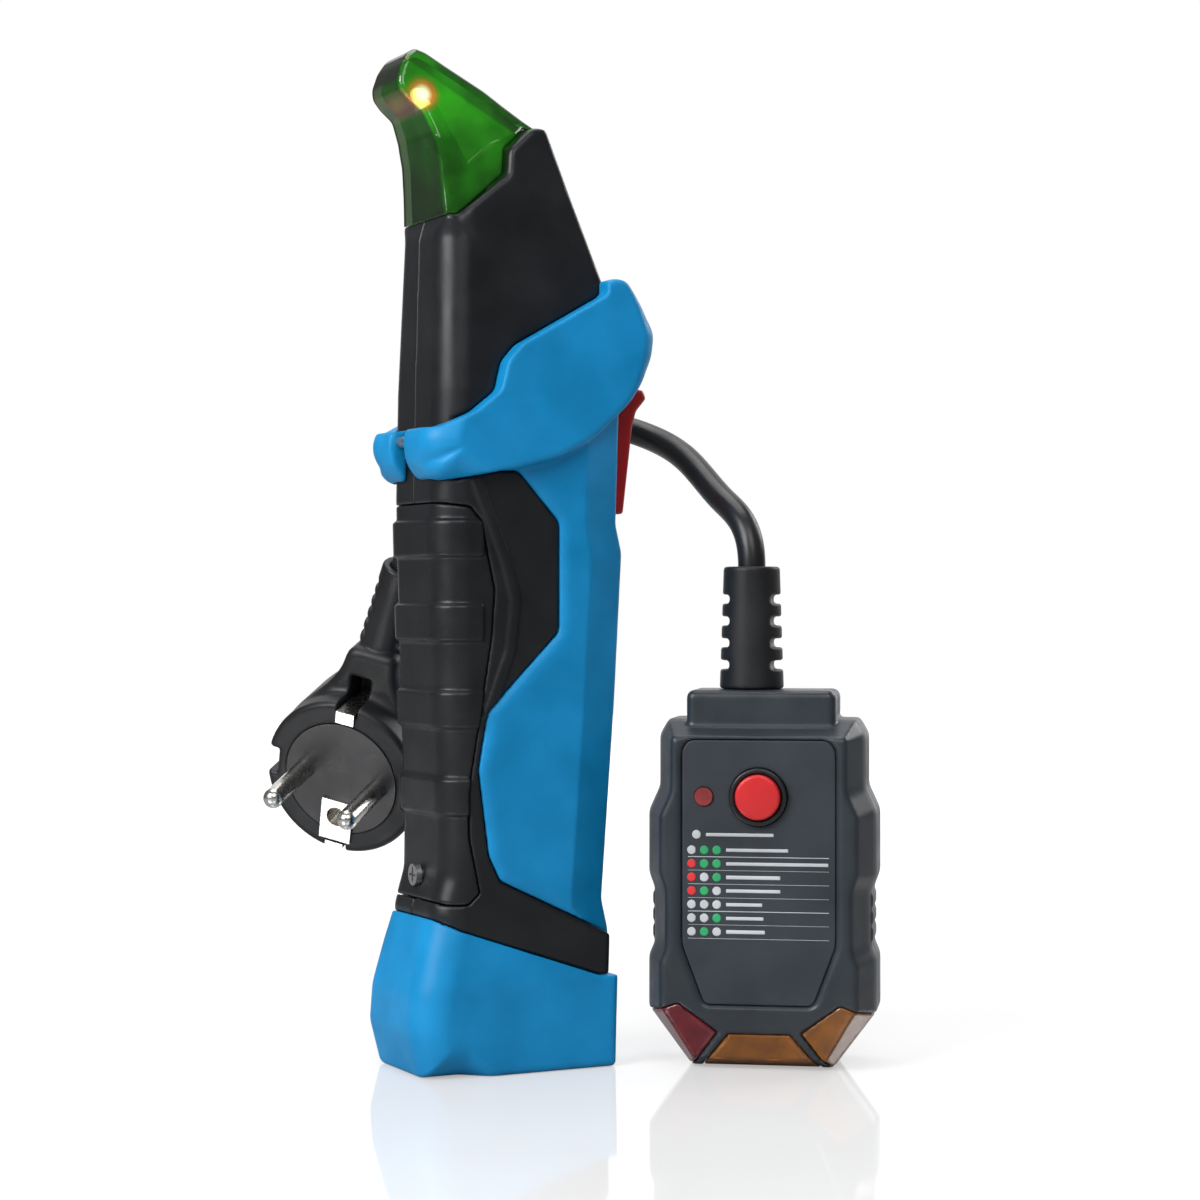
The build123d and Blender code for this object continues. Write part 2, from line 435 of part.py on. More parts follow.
def transmitter_insides():
    front_y = -TX_DEPTH / 2
    button = rod((0, front_y - 2.4, TX_BUTTON_Z), (0, 1, 0), TX_BUTTON_R, 5.6)
    button += rod((0, front_y + 3.2, TX_BUTTON_Z), (0, 1, 0), TX_BUTTON_R + 1.1, 0.9)
    button += rod((0, front_y + 4.1, TX_BUTTON_Z), (0, 1, 0), 1.4, 3.2)
    keep("test_button", button, TX_HERE)
    keep("button_spring", coil((0, front_y + 4.45, TX_BUTTON_Z), (0, 1, 0), 3.9, 6.95, 5), TX_HERE)
    board_y = 1.2
    keep("transmitter_board", block((-17, 17), (board_y, board_y + 1.6), (18, 67.2)) - joined(
        *[rod((x, -9, z), (0, 1, 0), 3.1, 20) for x, z in TX_SCREWS]), TX_HERE)
    keep("button_switch", tact_switch((0, board_y, TX_BUTTON_Z), (0, -1, 0), 6.2), TX_HERE)
    lamp = rod((-12.1, front_y + 0.1, TX_BUTTON_Z), (0, 1, 0), 2.0, 3.4) + rod(
        (-12.1, front_y + 3.5, TX_BUTTON_Z), (0, 1, 0), 2.5, 0.9)
    keep("fault_lamp", lamp, TX_HERE)
    leds = [rod((x, board_y, z), (0, -1, 0), 1.5, 4.2) + Pos(x, board_y - 4.2, z) * Sphere(1.5)
            for x, z in ((-14.0, 19.9), (0, 19.9), (14.0, 19.9))]
    keep("window_leds", joined(*leds), TX_HERE)
    back_y = board_y + 1.6
    resistors = [rod((x, back_y + 2.6, 32), (0, 0, 1), 2.3, 14) for x in (-12, -6)]
    keep("test_load_resistors", joined(*resistors), TX_HERE)
    keep("pulse_transformer", block((2, 14), (back_y, back_y + 8), (28, 41)), TX_HERE)
    chips = [block((x, x + w), (board_y - 1.6, board_y), (z, z + h))
             for x, z, w, h in ((-12, 34, 8, 8), (2, 36, 5, 5), (2, 46, 10, 4))]
    keep("transmitter_chips", joined(*chips), TX_HERE)
    terminals = [block((x, x + 5), (back_y, back_y + 5), (58, 66)) for x in (-12.5, -2.5, 7.5)]
    keep("mains_terminals", joined(*terminals), TX_HERE)
    clamp = block((TX_CORD_X - 8, TX_CORD_X + 8), (-5.4, -3.12), (CLAMP_Z - 2, CLAMP_Z + 2))
    for x in CLAMP_X:
        clamp -= rod((x, -10, CLAMP_Z), (0, 1, 0), 1.05, 20)
    keep("cord_clamp", clamp, TX_HERE)
    clamp_screws = [screw((x, -5.4, CLAMP_Z), (0, 1, 0), 8.0, 1.0, 1.8, 1.0) for x in CLAMP_X]
    keep("cord_clamp_screws", joined(*clamp_screws), TX_HERE)


# ---------------------------------------------------------------- mains lead and plug
def on_plug_neck(y):
    """A point of the lead's axis in the plug's neck, in the plug's frame."""
    return Vector((y - 15.0) * math.tan(NECK_TILT), y, PLUG_NECK_Z)


def strain_relief(low_r, high_r, length, slots):
    """A flexible sleeve standing on the origin, notched on both sides at each (low, high) height."""
    sleeve = cone_rod((0, 0, 0), (0, 0, 1), low_r, high_r, length)
    for low, high in slots:
        sleeve -= block((-30, -4.4), (-30, 30), (low, high)) + block((4.4, 30), (-30, 30), (low, high))
    return sleeve - rod((0, 0, -1), (0, 0, 1), CORD_R + 0.02, length + 2)


def mains_lead():
    """The lead from the transmitter to the plug, with its grip where it leaves the transmitter."""
    slots = [(4.4 + 4.9 * i, 6.4 + 4.9 * i) for i in range(4)]
    grip = strain_relief(7.2, 6.3, RELIEF_TOP_Z - CORD_ENTRY_Z - 0.1, slots)
    keep("cord_grip", Pos(TX_CORD_X, 0, CORD_ENTRY_Z + 0.1) * grip, TX_HERE)
    start = (TX_HERE * Pos(TX_CORD_X, 0, 73.2)).position
    leave = (TX_HERE * Pos(TX_CORD_X, 0, RELIEF_TOP_Z)).position
    plug_top, plug_in = [PLUG_HERE.from_local_coords(on_plug_neck(y)) for y in (PLUG_END_Y, PLUG_NECK_Y - 4)]
    middle = Spline(leave, (51.7, -14.0, 126.9), (51.8, 1.0, 135.8), (50.4, 17.0, 142.5), (38.0, 34.0, 147.5),
                    (16.0, 41.0, 146.0), plug_top, tangents=[(0, 0, 1), plug_in - plug_top])
    path = Line(start, leave) + middle + Line(plug_top, plug_in)
    keep("power_cord", sweep(Plane(start, z_dir=(0, 0, 1)) * Circle(CORD_R), path=path))
    cores = []
    for x, end_x in ((-1.5, -10), (0, 0), (1.5, 10)):
        jacket_end = (TX_CORD_X + x, 0.6 * abs(x) - 0.4, 73.15)
        wire = Spline(jacket_end, (end_x * 0.97, 4.6, 68.5), (end_x, 5.3, 66.05),
                      tangents=[(0, 0, -1), (0, 0, -1)])
        cores.append(sweep(Plane(wire @ 0, z_dir=(0, 0, -1)) * Circle(CORE_R * 0.8), path=wire))
    keep("cord_cores", joined(*cores), TX_HERE)


def mains_plug():
    """Right-angle two-pin plug with side earth clips and an earth socket, drawn in the plug's own frame."""
    body = rod((0, 0, PLUG_BACK), (0, 0, 1), PLUG_R, -PLUG_BACK)
    shoulder = [(-18.0, 7.0), (-6.0, 24.0), (-4.2, PLUG_NECK_Y), (8.6, PLUG_NECK_Y), (8.6, 24.0), (18.0, 7.0)]
    neck = extrude(Plane.XY.offset(PLUG_BACK) * make_face(Polyline(*shoulder, close=True)), 16.0)
    body += neck
    for side in (-1, 1):
        body -= block((16.6, 30) if side > 0 else (-30, -16.6), (-3.2, 3.2), (PLUG_BACK - 1, 1))
        body -= block((-2.6, 2.6), (CLIP_Y - 0.02, 24) if side > 0 else (-24, 0.02 - CLIP_Y), (-14, 1))
    insert = rod((0, 0, -9), (0, 0, 1), 14.2, 9)
    body -= rod((0, 0, -9.05), (0, 0, 1), 14.25, 20)
    along = on_plug_neck(PLUG_END_Y) - on_plug_neck(PLUG_NECK_Y)
    grip = Plane(on_plug_neck(PLUG_NECK_Y - 0.7), z_dir=along) * strain_relief(
        6.3, 5.0, along.length + 0.7, [(2.0 + 3.3 * i, 3.5 + 3.3 * i) for i in range(5)])
    body -= rod(on_plug_neck(PLUG_NECK_Y - 4.02), along, CORD_R + 0.02, 40)
    keep("plug_body", body + grip, PLUG_HERE)
    pins = []
    for x in (-PIN_PITCH / 2, PIN_PITCH / 2):
        pin = rod((x, 0, 0.02), (0, 0, 1), PIN_R, PIN_LENGTH - PIN_R - 0.02)
        pin += rod((x, 0, -7), (0, 0, 1), 1.9, 8)
        pins.append(pin + Pos(x, 0, PIN_LENGTH - PIN_R) * Sphere(PIN_R))
        insert -= rod((x, 0, -7.02), (0, 0, 1), 1.92, 20)
    keep("plug_pins", joined(*pins), PLUG_HERE)
    insert -= rod((0, -10.0, -6.5), (0, 0, 1), 3.3, 20)
    keep("plug_insert", insert, PLUG_HERE)
    socket = rod((0, -10.0, -6.4), (0, 0, 1), 3.2, 6.6) - rod((0, -10.0, -6.0), (0, 0, 1), 2.45, 20)
    plate = block((-4.0, 4.0), (-16.4, -5.8), (0.02, 0.8)) - rod((0, -10.0, -6.0), (0, 0, 1), 2.45, 20)
    keep("plug_earth_socket", socket + plate, PLUG_HERE)
    clips = []
    for side in (-1, 1):
        strip = block((-2.3, 2.3), (CLIP_Y, CLIP_Y + 1), (-13.5, 0.8))
        if side > 0:
            strip += block((-2.3, 2.3), (CLIP_Y - 2.0, CLIP_Y + 1), (0.02, 0.8))
        clips.append(strip if side > 0 else strip.mirror(Plane.XZ))
    keep("plug_earth_clips", joined(*clips), PLUG_HERE)


receiver_shells(receiver_case())
receiver_controls()
receiver_insides()
transmitter_covers()
transmitter_insides()
mains_lead()
mains_plug()
os.makedirs("parts", exist_ok=True)
for node, node_shape in PARTS.items():
    export_step(node_shape, f"parts/{node}.step")
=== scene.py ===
"""Circuit breaker finder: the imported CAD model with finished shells, materials, light and camera.

Shapes are written in millimetres as signed distances (negative inside) in the CAD frame, and become closed
meshes in metres. The receiver's mid plane is XZ; the transmitter and the plug have frames of their own.
"""

import json
import math

import bpy
import numpy as np
from mathutils import Matrix, Vector


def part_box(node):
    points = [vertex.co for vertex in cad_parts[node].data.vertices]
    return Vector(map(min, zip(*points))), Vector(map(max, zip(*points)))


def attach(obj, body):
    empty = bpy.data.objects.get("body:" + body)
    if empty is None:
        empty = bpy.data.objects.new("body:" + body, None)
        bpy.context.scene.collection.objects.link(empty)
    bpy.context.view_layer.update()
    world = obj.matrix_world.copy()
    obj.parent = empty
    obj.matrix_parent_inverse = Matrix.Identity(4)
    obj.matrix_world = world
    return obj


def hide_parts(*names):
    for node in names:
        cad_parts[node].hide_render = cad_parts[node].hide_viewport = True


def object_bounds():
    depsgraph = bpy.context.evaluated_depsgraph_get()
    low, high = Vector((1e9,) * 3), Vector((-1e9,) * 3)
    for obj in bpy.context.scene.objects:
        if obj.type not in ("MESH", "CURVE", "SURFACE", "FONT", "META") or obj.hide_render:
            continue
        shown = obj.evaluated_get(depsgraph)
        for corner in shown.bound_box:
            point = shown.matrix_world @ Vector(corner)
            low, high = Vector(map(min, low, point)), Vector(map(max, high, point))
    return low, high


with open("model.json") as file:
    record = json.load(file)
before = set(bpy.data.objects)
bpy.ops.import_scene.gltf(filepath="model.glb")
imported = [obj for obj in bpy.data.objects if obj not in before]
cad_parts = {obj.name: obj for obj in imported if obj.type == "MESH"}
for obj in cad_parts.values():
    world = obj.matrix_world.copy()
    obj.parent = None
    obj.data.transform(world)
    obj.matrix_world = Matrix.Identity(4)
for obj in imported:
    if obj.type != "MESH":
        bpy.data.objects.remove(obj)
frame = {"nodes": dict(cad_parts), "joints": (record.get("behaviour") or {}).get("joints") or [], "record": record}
cad_low, cad_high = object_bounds()

MM = 0.001
FINE = 0.45          # sample spacing of the large shells
DETAIL = 0.28        # sample spacing of the small pieces


# ---------------------------------------------------------------- signed distances
def polygon_distance(u, v, points):
    """Signed distance from (u, v) to a closed outline, negative inside."""
    nearest = np.full(np.broadcast(u, v).shape, 1e9, np.float32)
    inside = np.zeros(nearest.shape, bool)
    for (ax, ay), (bx, by) in zip(points, points[1:] + points[:1]):
        ex, ey = bx - ax, by - ay
        if abs(ex) + abs(ey) < 1e-6:
            continue
        wx, wy = u - ax, v - ay
        t = np.clip((wx * ex + wy * ey) / (ex * ex + ey * ey), 0, 1)
        nearest = np.minimum(nearest, (wx - ex * t) ** 2 + (wy - ey * t) ** 2)
        if abs(ey) > 1e-9:
            inside ^= ((ay > v) != (by > v)) & (u < ex * (v - ay) / ey + ax)
    return np.sqrt(nearest) * np.where(inside, np.float32(-1), np.float32(1))


def path_distance(u, v, points):
    """Distance from (u, v) to an open chain of straight lines."""
    nearest = np.full(np.broadcast(u, v).shape, 1e9, np.float32)
    for (ax, ay), (bx, by) in zip(points, points[1:]):
        ex, ey = bx - ax, by - ay
        wx, wy = u - ax, v - ay
        t = np.clip((wx * ex + wy * ey) / (ex * ex + ey * ey), 0, 1)
        nearest = np.minimum(nearest, (wx - ex * t) ** 2 + (wy - ey * t) ** 2)
    return np.sqrt(nearest)


def rounded(points, radius):
    """The outline with each corner replaced by a short arc."""
    out = []
    for i, here in enumerate(points):
        here = np.array(here, float)
        back = np.array(points[i - 1], float) - here
        ahead = np.array(points[(i + 1) % len(points)], float) - here
        back_length, ahead_length = np.linalg.norm(back), np.linalg.norm(ahead)
        cut = min(radius, 0.45 * back_length, 0.45 * ahead_length)
        start, end = here + back / back_length * cut, here + ahead / ahead_length * cut
        for t in (0, 0.25, 0.5, 0.75, 1):
            out.append(tuple((1 - t) ** 2 * start + 2 * t * (1 - t) * here + t * t * end))
    return out


def both(a, b, radius=0.0):
    """What is inside a and b, with the edge between them rounded."""
    if np.ndim(radius) == 0 and radius <= 0:
        return np.maximum(a, b)
    outside = np.sqrt(np.maximum(a + radius, 0) ** 2 + np.maximum(b + radius, 0) ** 2)
    return np.minimum(-radius, np.maximum(a, b)) + outside


def either(a, b, radius=0.0):
    """What is inside a or b, with the crease between them filleted."""
    return -both(-a, -b, radius)


def without(a, b, radius=0.0):
    return both(a, -b, radius)


def smooth_step(value, low, high):
    t = np.clip((value - low) / (high - low), 0, 1)
    return t * t * (3 - 2 * t)


class Grid:
    """Sample points on which a solid is written."""

    def __init__(self, low, high, step):
        self.low, self.step = np.array(low, float), step
        x, y, z = [np.arange(a, b + step, step, dtype=np.float32) for a, b in zip(low, high)]
        self.x, self.y, self.z = x[:, None, None], y[None, :, None], z[None, None, :]

    def side(self, points, radius=0.0):
        """An XZ outline, endless along Y."""
        return polygon_distance(self.x, self.z, rounded(points, radius) if radius else points)

    def block(self, x, y, z, radius=0.0):
        """A box from three (low, high) pairs."""
        field = abs(self.x - sum(x) / 2) - (x[1] - x[0]) / 2
        for values, (low, high) in ((self.y, y), (self.z, z)):
            field = both(field, abs(values - (low + high) / 2) - (high - low) / 2, radius)
        return field

    def rod(self, start, direction, radius, length, edge=0.0):
        """A cylinder from start along a unit direction."""
        wx, wy, wz = self.x - start[0], self.y - start[1], self.z - start[2]
        along = wx * direction[0] + wy * direction[1] + wz * direction[2]
        across = np.sqrt(np.maximum(wx * wx + wy * wy + wz * wz - along * along, 0))
        return both(across - radius, abs(along - length / 2) - length / 2, edge)

    def height_table(self, table):
        heights, values = zip(*table)
        return np.interp(self.z, heights, values).astype(np.float32)


def surface(grid, field):
    """Vertices and quads of the field's zero level, by surface nets."""
    shape = np.broadcast(grid.x, grid.y, grid.z).shape
    field = np.array(np.broadcast_to(field, shape), np.float32)
    for axis in range(3):                   # nothing may touch the samples' border
        for end in (0, -1):
            index = [slice(None)] * 3
            index[axis] = end
            field[tuple(index)] = np.maximum(field[tuple(index)], 0.01)
    inside = field < 0
    cells_shape = [n - 1 for n in field.shape]
    count = np.zeros(cells_shape, np.uint8)
    for corner in np.ndindex(2, 2, 2):
        count += inside[tuple(slice(c, c + n) for c, n in zip(corner, cells_shape))]
    active = (count > 0) & (count < 8)
    cells = np.argwhere(active)
    index = np.full(cells_shape, -1, np.int32)
    index[active] = np.arange(len(cells))
    total, hits = np.zeros((len(cells), 3)), np.zeros(len(cells))
    for axis in range(3):
        step = np.eye(3, dtype=int)[axis]
        for corner in np.ndindex(2, 2, 2):
            if corner[axis]:
                continue
            start = cells + corner
            a, b = field[tuple(start.T)], field[tuple((start + step).T)]
            cross = (a < 0) != (b < 0)
            t = a[cross] / (a[cross] - b[cross])
            total[cross] += np.array(corner) + t[:, None] * step
            hits[cross] += 1
    vertices = grid.low + grid.step * (cells + total / hits[:, None])
    quads = []
    for axis in range(3):
        first, second = (axis + 1) % 3, (axis + 2) % 3
        low, high = [slice(None)] * 3, [slice(None)] * 3
        low[axis], high[axis] = slice(0, -1), slice(1, None)
        start = np.argwhere(inside[tuple(low)] != inside[tuple(high)])
        e1, e2 = np.eye(3, dtype=int)[first], np.eye(3, dtype=int)[second]
        around = [index[tuple((start - shift).T)] for shift in (0 * e1, e1, e1 + e2, e2)]
        quad = np.stack(around, 1)
        outward = inside[tuple(start.T)]
        quad[~outward] = quad[~outward][:, ::-1]
        quads.append(quad)
    return vertices, np.concatenate(quads)


def mesh_piece(name, grid, field, material, body, nodes=(), place=None, inner=None):
    """A closed mesh of the field, riding on a body and standing for CAD nodes.

    inner is (field, material): faces that lie on that field's zero level get that material."""
    vertices, quads = surface(grid, field)
    zone = np.zeros(len(quads), np.int32)
    if inner:
        centre = np.rint((vertices[quads].mean(1) - grid.low) / grid.step).astype(int)
        zone[abs(np.broadcast_to(inner[0], np.broadcast(grid.x, grid.y, grid.z).shape)[tuple(centre.T)])
             < 1.2 * grid.step] = 1
    if place is not None:
        matrix = np.array(place)
        vertices = vertices @ matrix[:3, :3].T + matrix[:3, 3]
        if np.linalg.det(matrix[:3, :3]) < 0:
            quads = quads[:, ::-1]
    mesh = bpy.data.meshes.new(name)
    mesh.vertices.add(len(vertices))
    mesh.vertices.foreach_set("co", (vertices * MM).astype(np.float32).ravel())
    mesh.loops.add(quads.size)
    mesh.loops.foreach_set("vertex_index", quads.ravel().astype(np.int32))
    mesh.polygons.add(len(quads))
    mesh.polygons.foreach_set("loop_start", np.arange(0, quads.size, 4, dtype=np.int32))
    mesh.update(calc_edges=True)
    mesh.validate()
    mesh.polygons.foreach_set("use_smooth", np.ones(len(mesh.polygons), bool))
    mesh.materials.append(material)
    if inner:
        mesh.materials.append(inner[1])
        mesh.polygons.foreach_set("material_index", zone)
    piece = bpy.data.objects.new(name, mesh)
    bpy.context.scene.collection.objects.link(piece)
    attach(piece, body)
    if nodes:
        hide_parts(*nodes)
    return piece


# ---------------------------------------------------------------- materials
class Shader:
    """A material's nodes, made one call at a time."""

    def __init__(self, name):
        self.material = bpy.data.materials.new(name)
        self.material.use_nodes = True
        self.tree = self.material.node_tree
        self.tree.nodes.clear()
        self.output = self.tree.nodes.new("ShaderNodeOutputMaterial")
        self.coordinates = self.tree.nodes.new("ShaderNodeTexCoord").outputs["Object"]

    def put(self, value, socket):
        if isinstance(value, bpy.types.NodeSocket):
            self.tree.links.new(value, socket)
        elif value is not None:
            socket.default_value = (*value, 1.0) if isinstance(value, tuple) and len(value) == 3 and \
                socket.type == "RGBA" else value

    def add(self, kind, inputs=None, output=0, **settings):
        node = self.tree.nodes.new("ShaderNode" + kind)
        for key, value in settings.items():
            setattr(node, key, value)
        for key, value in (inputs or {}).items():
            self.put(value, node.inputs[key])
        return node.outputs[output]

    def noise(self, size_mm, detail=2.0, rough=0.5, stretch=(1, 1, 1)):
        """Noise whose features are about size_mm across."""
        scaled = self.add("Mapping", {"Vector": self.coordinates, "Scale": tuple(1 / s for s in stretch)})
        return self.add("TexNoise", {"Vector": scaled, "Scale": 1000.0 / size_mm, "Detail": detail,
                                     "Roughness": rough})

    def remap(self, value, low, high, to_low, to_high):
        return self.add("MapRange", {"Value": value, "From Min": low, "From Max": high,
                                     "To Min": to_low, "To Max": to_high})

    def math(self, operation, a, b=None):
        return self.add("Math", {0: a, 1: b} if b is not None else {0: a}, operation=operation)

    def mix(self, factor, a, b):
        node = self.tree.nodes.new("ShaderNodeMix")
        node.data_type = "RGBA"
        self.put(factor, node.inputs["Factor"])
        self.put(a, node.inputs["A"])
        self.put(b, node.inputs["B"])
        return node.outputs["Result"]

    def edges(self, radius_mm):
        """1 along convex and concave edges, 0 on open faces."""
        soft = self.add("Bevel", {"Radius": radius_mm * MM}, samples=4)
        plain = self.add("NewGeometry", output="Normal")
        dot = self.add("VectorMath", {0: soft, 1: plain}, output="Value", operation="DOT_PRODUCT")
        return self.remap(dot, 0.995, 0.93, 0.0, 1.0)

    def bump(self, height, strength, distance_mm, normal=None):
        return self.add("Bump", {"Height": height, "Strength": strength, "Distance": distance_mm * MM,
                                 "Normal": normal})

    def finish(self, shader):
        self.tree.links.new(shader, self.output.inputs["Surface"])
        return self.material


def plastic(name, colour, rough=0.42, grain_mm=0.28, relief=0.25, wear=0.35, specular=0.5):
    """Moulded plastic: spark-eroded grain, faint colour drift, handling marks and lighter worn edges."""
    s = Shader(name)
    drift = s.remap(s.noise(14.0, 3.0), 0.3, 0.7, 0.0, 1.0)
    deep = tuple(c * 0.86 for c in colour)
    pale = tuple(min(1.0, c * 1.12 + 0.004) for c in colour)
    base = s.mix(drift, deep, pale)
    worn = s.math("MULTIPLY", s.edges(0.55), s.remap(s.noise(2.4, 4.0), 0.42, 0.68, 0.15, 1.0))
    worn = s.math("MULTIPLY", worn, wear)
    base = s.mix(worn, base, tuple(min(1.0, c * 1.5 + 0.05) for c in colour))
    rubbed = s.remap(s.noise(9.0, 4.0, 0.6), 0.35, 0.7, rough - 0.06, rough + 0.07)
    rubbed = s.math("SUBTRACT", rubbed, s.math("MULTIPLY", worn, 0.15))
    grain = s.noise(grain_mm, 2.0, 0.55)
    normal = s.bump(grain, relief, 0.05)
    shader = s.add("BsdfPrincipled", {"Base Color": base, "Roughness": rubbed, "Normal": normal,
                                      "Specular IOR Level": specular})
    return s.finish(shader)


def metal(name, colour, rough=0.28, brushed=(1, 1, 8)):
    """Plated or turned metal with fine drawn lines and small stains."""
    s = Shader(name)
    lines = s.noise(0.35, 3.0, 0.6, brushed)
    stain = s.remap(s.noise(3.0, 4.0), 0.35, 0.7, 0.0, 1.0)
    base = s.mix(stain, colour, tuple(c * 0.72 for c in colour))
    roughness = s.remap(lines, 0.3, 0.7, rough - 0.08, rough + 0.12)
    shader = s.add("BsdfPrincipled", {"Base Color": base, "Metallic": 1.0, "Roughness": roughness,
                                      "Normal": s.bump(lines, 0.2, 0.03)})
    return s.finish(shader)


def circuit_board(name):
    """Solder mask over copper tracks, with pads."""
    s = Shader(name)
    mask = s.mix(s.remap(s.noise(5.0), 0.35, 0.65, 0, 1), (0.012, 0.16, 0.045), (0.02, 0.23, 0.07))
    cell = s.add("TexBrick", {"Vector": s.coordinates, "Scale": 260.0, "Mortar Size": 0.06,
                              "Color1": (0, 0, 0), "Color2": (0, 0, 0), "Mortar": (1, 1, 1)})
    track = s.math("MULTIPLY", cell, s.remap(s.noise(3.0, 0.0), 0.5, 0.52, 0.0, 1.0))
    base = s.mix(track, mask, (0.05, 0.36, 0.10))
    shader = s.add("BsdfPrincipled", {"Base Color": base, "Roughness": 0.32,
                                      "Normal": s.bump(track, 0.4, 0.05)})
    return s.finish(shader)


def tinted_clear(name, tint, body_colour, clear=0.55, rough=0.08):
    """See-through coloured plastic: a tinted see-through share, a coloured body share and a glossy skin."""
    s = Shader(name)
    see = s.add("BsdfTransparent", {"Color": tint})
    darker = tuple(c * 0.6 for c in body_colour)
    cloudy = s.mix(s.remap(s.noise(4.0, 3.0), 0.35, 0.65, 0, 1), body_colour, darker)
    body = s.add("BsdfPrincipled", {"Base Color": cloudy, "Roughness": 0.3,
                                    "Subsurface Weight": 0.0})
    inner = s.add("MixShader", {0: clear, 1: body, 2: see})
    skin = s.add("BsdfGlossy", {"Color": (1.0, 1.0, 1.0), "Roughness": rough,
                                "Normal": s.bump(s.noise(3.0, 1.0), 0.05, 0.05)})
    facing = s.add("Fresnel", {"IOR": 1.32})
    return s.finish(s.add("MixShader", {0: facing, 1: inner, 2: skin}))


def smoky_clear(name):
    """Dark see-through plastic that is clearest where it faces the eye and near black along its rims."""
    s = Shader(name)
    facing = s.add("LayerWeight", {"Blend": 0.35}, output="Facing")
    rim = s.remap(facing, 0.08, 0.55, 0.0, 1.0)
    see = s.add("BsdfTransparent", {"Color": s.mix(rim, (0.66, 0.86, 0.58), (0.012, 0.022, 0.008))})
    body = s.add("BsdfPrincipled", {"Base Color": (0.012, 0.022, 0.010), "Roughness": 0.25})
    inner = s.add("MixShader", {0: 0.86, 1: body, 2: see})
    skin = s.add("BsdfGlossy", {"Color": (1, 1, 1), "Roughness": 0.07,
                                "Normal": s.bump(s.noise(5.0, 1.0), 0.08, 0.05)})
    return s.finish(s.add("MixShader", {0: s.add("Fresnel", {"IOR": 1.45}), 1: inner, 2: skin}))


def painted_tip_glow(name):
    """The tip's inner wall with its lamp's light painted on as a glow: white, then orange, then green that fades
    with distance.
    """
    s = Shader(name)
    low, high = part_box("tip_led")
    lamp = (low + high) / 2
    away = s.add("VectorMath", {0: s.coordinates, 1: tuple(lamp)}, output="Value", operation="DISTANCE")
    flat = s.add("VectorMath", {0: s.coordinates, 1: (1, 0, 1)}, output="Vector", operation="MULTIPLY")
    glow = (lamp.x - 0.0025, 0, lamp.z)
    halo = s.add("VectorMath", {0: flat, 1: glow}, output="Value", operation="DISTANCE")
    # painted glow colours: a white spot beside the lamp, an orange ring round it, then green
    warm = s.mix(s.remap(halo, 0.0010, 0.0024, 0.0, 1.0), (1.0, 0.92, 0.80), (1.0, 0.20, 0.05))
    tone = s.mix(s.remap(halo, 0.0026, 0.0044, 0.0, 1.0), warm, (0.06, 0.62, 0.02))
    core = s.remap(halo, 0.0006, 0.0036, 3.2, 1.0)
    cloud = s.remap(s.noise(11.0, 2.0), 0.38, 0.62, 0.45, 1.2)
    # painted glow strength: brightest at the spot, fading with distance from the lamp
    fade = s.math("MULTIPLY", s.remap(away, 0.004, 0.032, 1.3, 0.06), core)
    strength = s.math("MULTIPLY", s.math("MULTIPLY", cloud, fade), 0.85)
    # the wall itself emits here: painted lamp light, though the wall is no lamp
    light = s.add("Emission", {"Color": tone, "Strength": strength})
    see = s.add("BsdfTransparent", {"Color": (0.30, 0.58, 0.22)})
    through = s.add("MixShader", {0: 0.4, 1: light, 2: see})
    return s.finish(through)


def led_light(name, colour, strength):
    """A lit lamp: bright core fading to its case's colour at grazing angles."""
    s = Shader(name)
    facing = s.add("LayerWeight", {"Blend": 0.4}, output="Facing")
    tone = s.mix(facing, (1.0, 0.95, 0.85), colour)
    light = s.add("Emission", {"Color": tone, "Strength": strength})
    skin = s.add("BsdfGlossy", {"Roughness": 0.15})
    return s.finish(s.add("MixShader", {0: 0.06, 1: light, 2: skin}))


def battery_wrap(name):
    """A printed steel can: dark sleeve with a plain metallic band near its top."""
    s = Shader(name)
    height = s.add("SeparateXYZ", {"Vector": s.coordinates}, output="Z")
    low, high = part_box("battery")
    band = s.math("GREATER_THAN", height, low.z + 0.72 * (high.z - low.z))
    base = s.mix(band, (0.03, 0.035, 0.05), (0.75, 0.48, 0.16))
    scuffs = s.remap(s.noise(2.0, 4.0), 0.4, 0.7, 0.28, 0.45)
    shader = s.add("BsdfPrincipled", {"Base Color": base, "Metallic": s.math("MULTIPLY", band, 0.9),
                                      "Roughness": scuffs, "Normal": s.bump(s.noise(0.8), 0.1, 0.05)})
    return s.finish(shader)


BLACK = plastic("black_plastic", (0.0065, 0.0075, 0.0095), 0.36, 0.30, 0.30, 0.16, specular=0.34)
BLUE = plastic("blue_plastic", (0.002, 0.215, 0.480), 0.44, 0.28, 0.32, 0.14, specular=0.22)
GREY = plastic("transmitter_plastic", (0.020, 0.026, 0.033), 0.36, 0.26, 0.25, 0.20, specular=0.38)
TRIGGER_RED = plastic("trigger_red_plastic", (0.30, 0.005, 0.008), 0.35, 0.3, 0.2, 0.2, specular=0.3)
BUTTON_RED = plastic("button_red_plastic", (0.50, 0.014, 0.017), 0.33, 0.3, 0.15, 0.15, specular=0.4)
LABEL = plastic("label_face", (0.024, 0.030, 0.038), 0.48, 0.5, 0.1, 0.05, specular=0.3)
BEZEL = plastic("bezel_plastic", (0.009, 0.010, 0.012), 0.30, 0.3, 0.15, 0.2, specular=0.35)
RUBBER = plastic("soft_black_rubber", (0.007, 0.0075, 0.009), 0.45, 0.35, 0.25, 0.10, specular=0.32)
CORD = plastic("cord_jacket", (0.007, 0.0075, 0.009), 0.33, 0.8, 0.12, 0.0, specular=0.4)
INK_WHITE = plastic("white_ink", (0.44, 0.46, 0.48), 0.5, 0.3, 0.1, 0.0)
INK_GREEN = plastic("green_ink", (0.012, 0.30, 0.10), 0.5, 0.3, 0.1, 0.0)
INK_RED = plastic("red_ink", (0.55, 0.016, 0.02), 0.5, 0.3, 0.1, 0.0)
